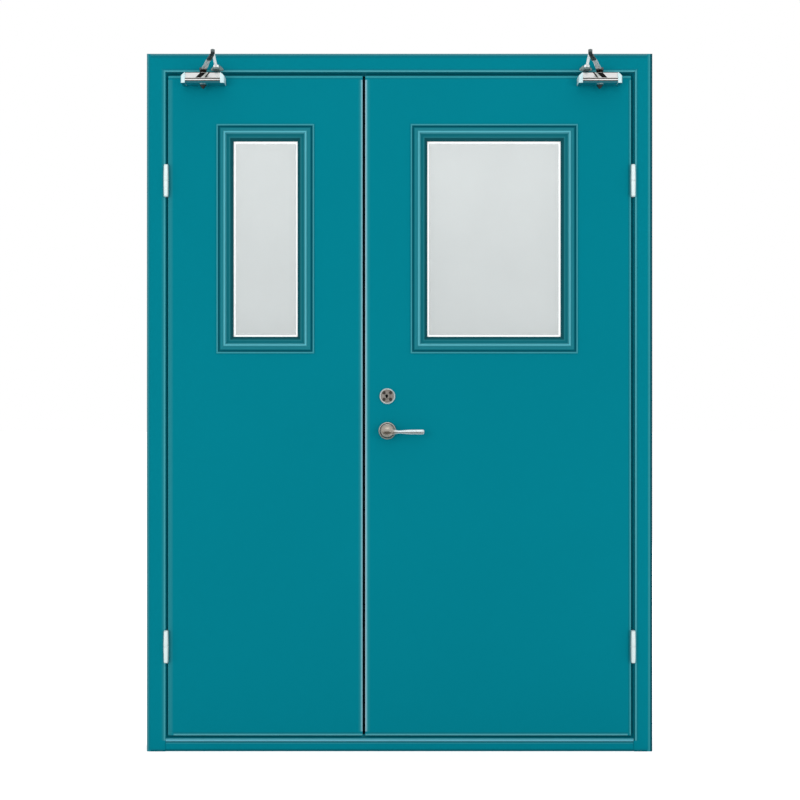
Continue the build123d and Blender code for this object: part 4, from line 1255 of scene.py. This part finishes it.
def arm_shade_sleeve(side, sign):
    """A dark sleeve round the outer half of a main arm, which paints the shade under it."""
    pinion, elbow, _ = closer_points(side, sign)
    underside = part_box(f"{side}_main_arm")[0].z + ARM_RISE
    along = Vector((elbow.x - pinion.x, elbow.y - pinion.y, 0))
    beside = along.normalized().cross(Vector((0, 0, 1)))
    sections = []
    for share in SLEEVE_ENDS:
        inner = 0.5 * (ARM_ROOT_WIDTH + (ARM_WAIST - ARM_ROOT_WIDTH) * share) + SLEEVE_GAP
        outer = inner + SLEEVE_WALL
        section = (
            (-outer, -SLEEVE_BELOW), (outer, -SLEEVE_BELOW), (outer, SLEEVE_ABOVE), (inner, SLEEVE_ABOVE),
            (inner, -SLEEVE_GAP), (-inner, -SLEEVE_GAP), (-inner, SLEEVE_ABOVE), (-outer, SLEEVE_ABOVE),
        )
        centre = Vector((pinion.x, pinion.y, underside)) + along * share
        sections.append([centre + beside * across + Vector((0, 0, up)) for across, up in section])
    bm = bmesh.new()
    loft(bm, sections)
    piece(f"{side}_arm_shade_sleeve", bm, f"{side}_main_arm", "dark_bronze")


def arm_fixings(side, sign):
    """Rivets of the arms, the socket washer on the hub, and the screws of the shoe."""
    pinion, elbow, shoe = closer_points(side, sign)
    forearm_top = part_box(f"{side}_forearm")[1].z
    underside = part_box(f"{side}_main_arm")[0].z + ARM_RISE
    bm = bmesh.new()
    rivet(bm, (elbow.x, elbow.y, forearm_top), (0, 0, 1), ELBOW_RIVET)
    piece(f"{side}_elbow_rivet", bm, f"{side}_forearm", "shoe")

    bm = bmesh.new()
    rivet(bm, (elbow.x, elbow.y, underside), (0, 0, -1), ARM_RIVET)
    washer = [circle(HUB_WASHER_RADIUS), circle(HUB_SOCKET_RADIUS, count=6)]
    plate(bm, washer, HUB_WASHER_THICKNESS, HUB_WASHER_EDGE, facing(pinion, (0, 0, 1)))
    piece(f"{side}_arm_rivet", bm, f"{side}_main_arm", "main_arm")

    bm = bmesh.new()
    rivet(bm, (shoe.x, shoe.y, forearm_top), (0, 0, 1), SHOE_RIVET)
    plate_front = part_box(f"{side}_closer_shoe")[1].y - SHOE_PLATE
    for across in (-SHOE_SCREW_ASIDE, SHOE_SCREW_ASIDE):
        screw(bm, (shoe.x + across, plate_front, shoe.z + SHOE_SCREW_RISE), (0, -1, 0), SHOE_SCREW)
    piece(f"{side}_shoe_fixings", bm, "frame", "shoe")


# Studio

def rays(tree, *kinds):
    """1 for light paths of any of the kinds, 0 for others."""
    path = add_node(tree, "ShaderNodeLightPath")
    seen = path.outputs[kinds[0]]
    for kind in kinds[1:]:
        seen = maths(tree, "MAXIMUM", seen, path.outputs[kind])
    return seen


def white_world():
    """White where the camera, metal and glass see it, and a plain soft light on the object."""
    world = bpy.data.worlds.new("white_studio")
    scene.world = world
    world.use_nodes = True
    tree = world.node_tree
    back = tree.nodes["Background"]
    seen = rays(tree, "Is Camera Ray", "Is Glossy Ray", "Is Transmission Ray")
    strength = spread(tree, seen, 0.0, 1.0, AMBIENT, 1.0)
    shone = spread(tree, rays(tree, "Is Glossy Ray"), 0.0, 1.0, 1.0, GLOSSY_SHARE)
    feed(tree, back, {"Color": opaque(WHITE), "Strength": maths(tree, "MULTIPLY", strength, shone)})


def dull_material(name, colour, roughness):
    """A plain matt material of the stage."""
    material, tree, surface = new_material(name)
    feed(tree, surface, {"Base Color": opaque(colour), "Roughness": roughness, "Specular IOR Level": 0.0})
    return material, tree, surface


def pale_floor():
    """The floor, which looks white and keeps the object's shadow."""
    material, tree, surface = dull_material("studio_floor", FLOOR_GREY, FLOOR_ROUGHNESS)
    glow = spread(tree, rays(tree, "Is Camera Ray", "Is Transmission Ray"), 0.0, 1.0, 0.0, FLOOR_GLOW)
    feed(tree, surface, {"Emission Color": opaque(WHITE), "Emission Strength": glow})
    bm = bmesh.new()
    bmesh.ops.create_grid(bm, x_segments=1, y_segments=1, size=FLOOR_HALF)
    floor = mesh_object("studio_floor", bm)
    floor.data.materials.append(material)


def dark_flag():
    """A dark card on the floor in front, which only shows in the metal."""
    material, _, _ = dull_material("studio_flag", FLAG_BROWN, 1.0)
    bm = bmesh.new()
    x0, x1, y0, y1 = FLAG
    corners = ((x0, y0), (x1, y0), (x1, y1), (x0, y1))
    bm.faces.new([bm.verts.new((x, y, FLAG_HEIGHT)) for x, y in corners])
    flag = mesh_object("studio_flag", bm)
    flag.data.materials.append(material)
    flag.visible_camera = False
    flag.visible_diffuse = False
    flag.visible_transmission = False
    flag.visible_shadow = False


def soft_lights():
    """Large soft lights in front, above and behind. Only the high strip shows in the metal."""
    for name, place, target, size, power in LIGHTS:
        lamp = bpy.data.lights.new(name, "AREA")
        lamp.shape = "RECTANGLE"
        lamp.size, lamp.size_y = size
        lamp.energy = power
        holder = link_object(bpy.data.objects.new(name, lamp))
        holder.visible_transmission = False
        holder.visible_glossy = name == SHINING_LIGHT
        holder.location = place
        holder.rotation_euler = (Vector(target) - Vector(place)).to_track_quat("-Z", "Y").to_euler()


def photo_camera():
    """The camera, square to the door at the photograph's height and distance."""
    camera = bpy.data.cameras.new("photo_camera")
    camera.sensor_width = SENSOR
    camera.lens = SENSOR * (leaf_front - CAMERA_PLACE[1]) / FIELD_AT_FRONT
    holder = link_object(bpy.data.objects.new("photo_camera", camera))
    holder.location = CAMERA_PLACE
    holder.rotation_euler = (math.pi / 2, 0, 0)
    scene.camera = holder


dress_nodes()
for face, outward in FACES:
    lever(face, outward)
    rose(face, outward)
    cylinder(face, outward)
for side, sign in SIDES:
    hinge_trim(side, sign)
    hinge_barrels(side)
    bevel_slats(side, sign)
    body_trim(side)
    arm_shade_sleeve(side, sign)
    arm_fixings(side, sign)
seal_fin()
edge_screws()
scene.view_settings.view_transform = "Standard"
white_world()
pale_floor()
dark_flag()
soft_lights()
photo_camera()
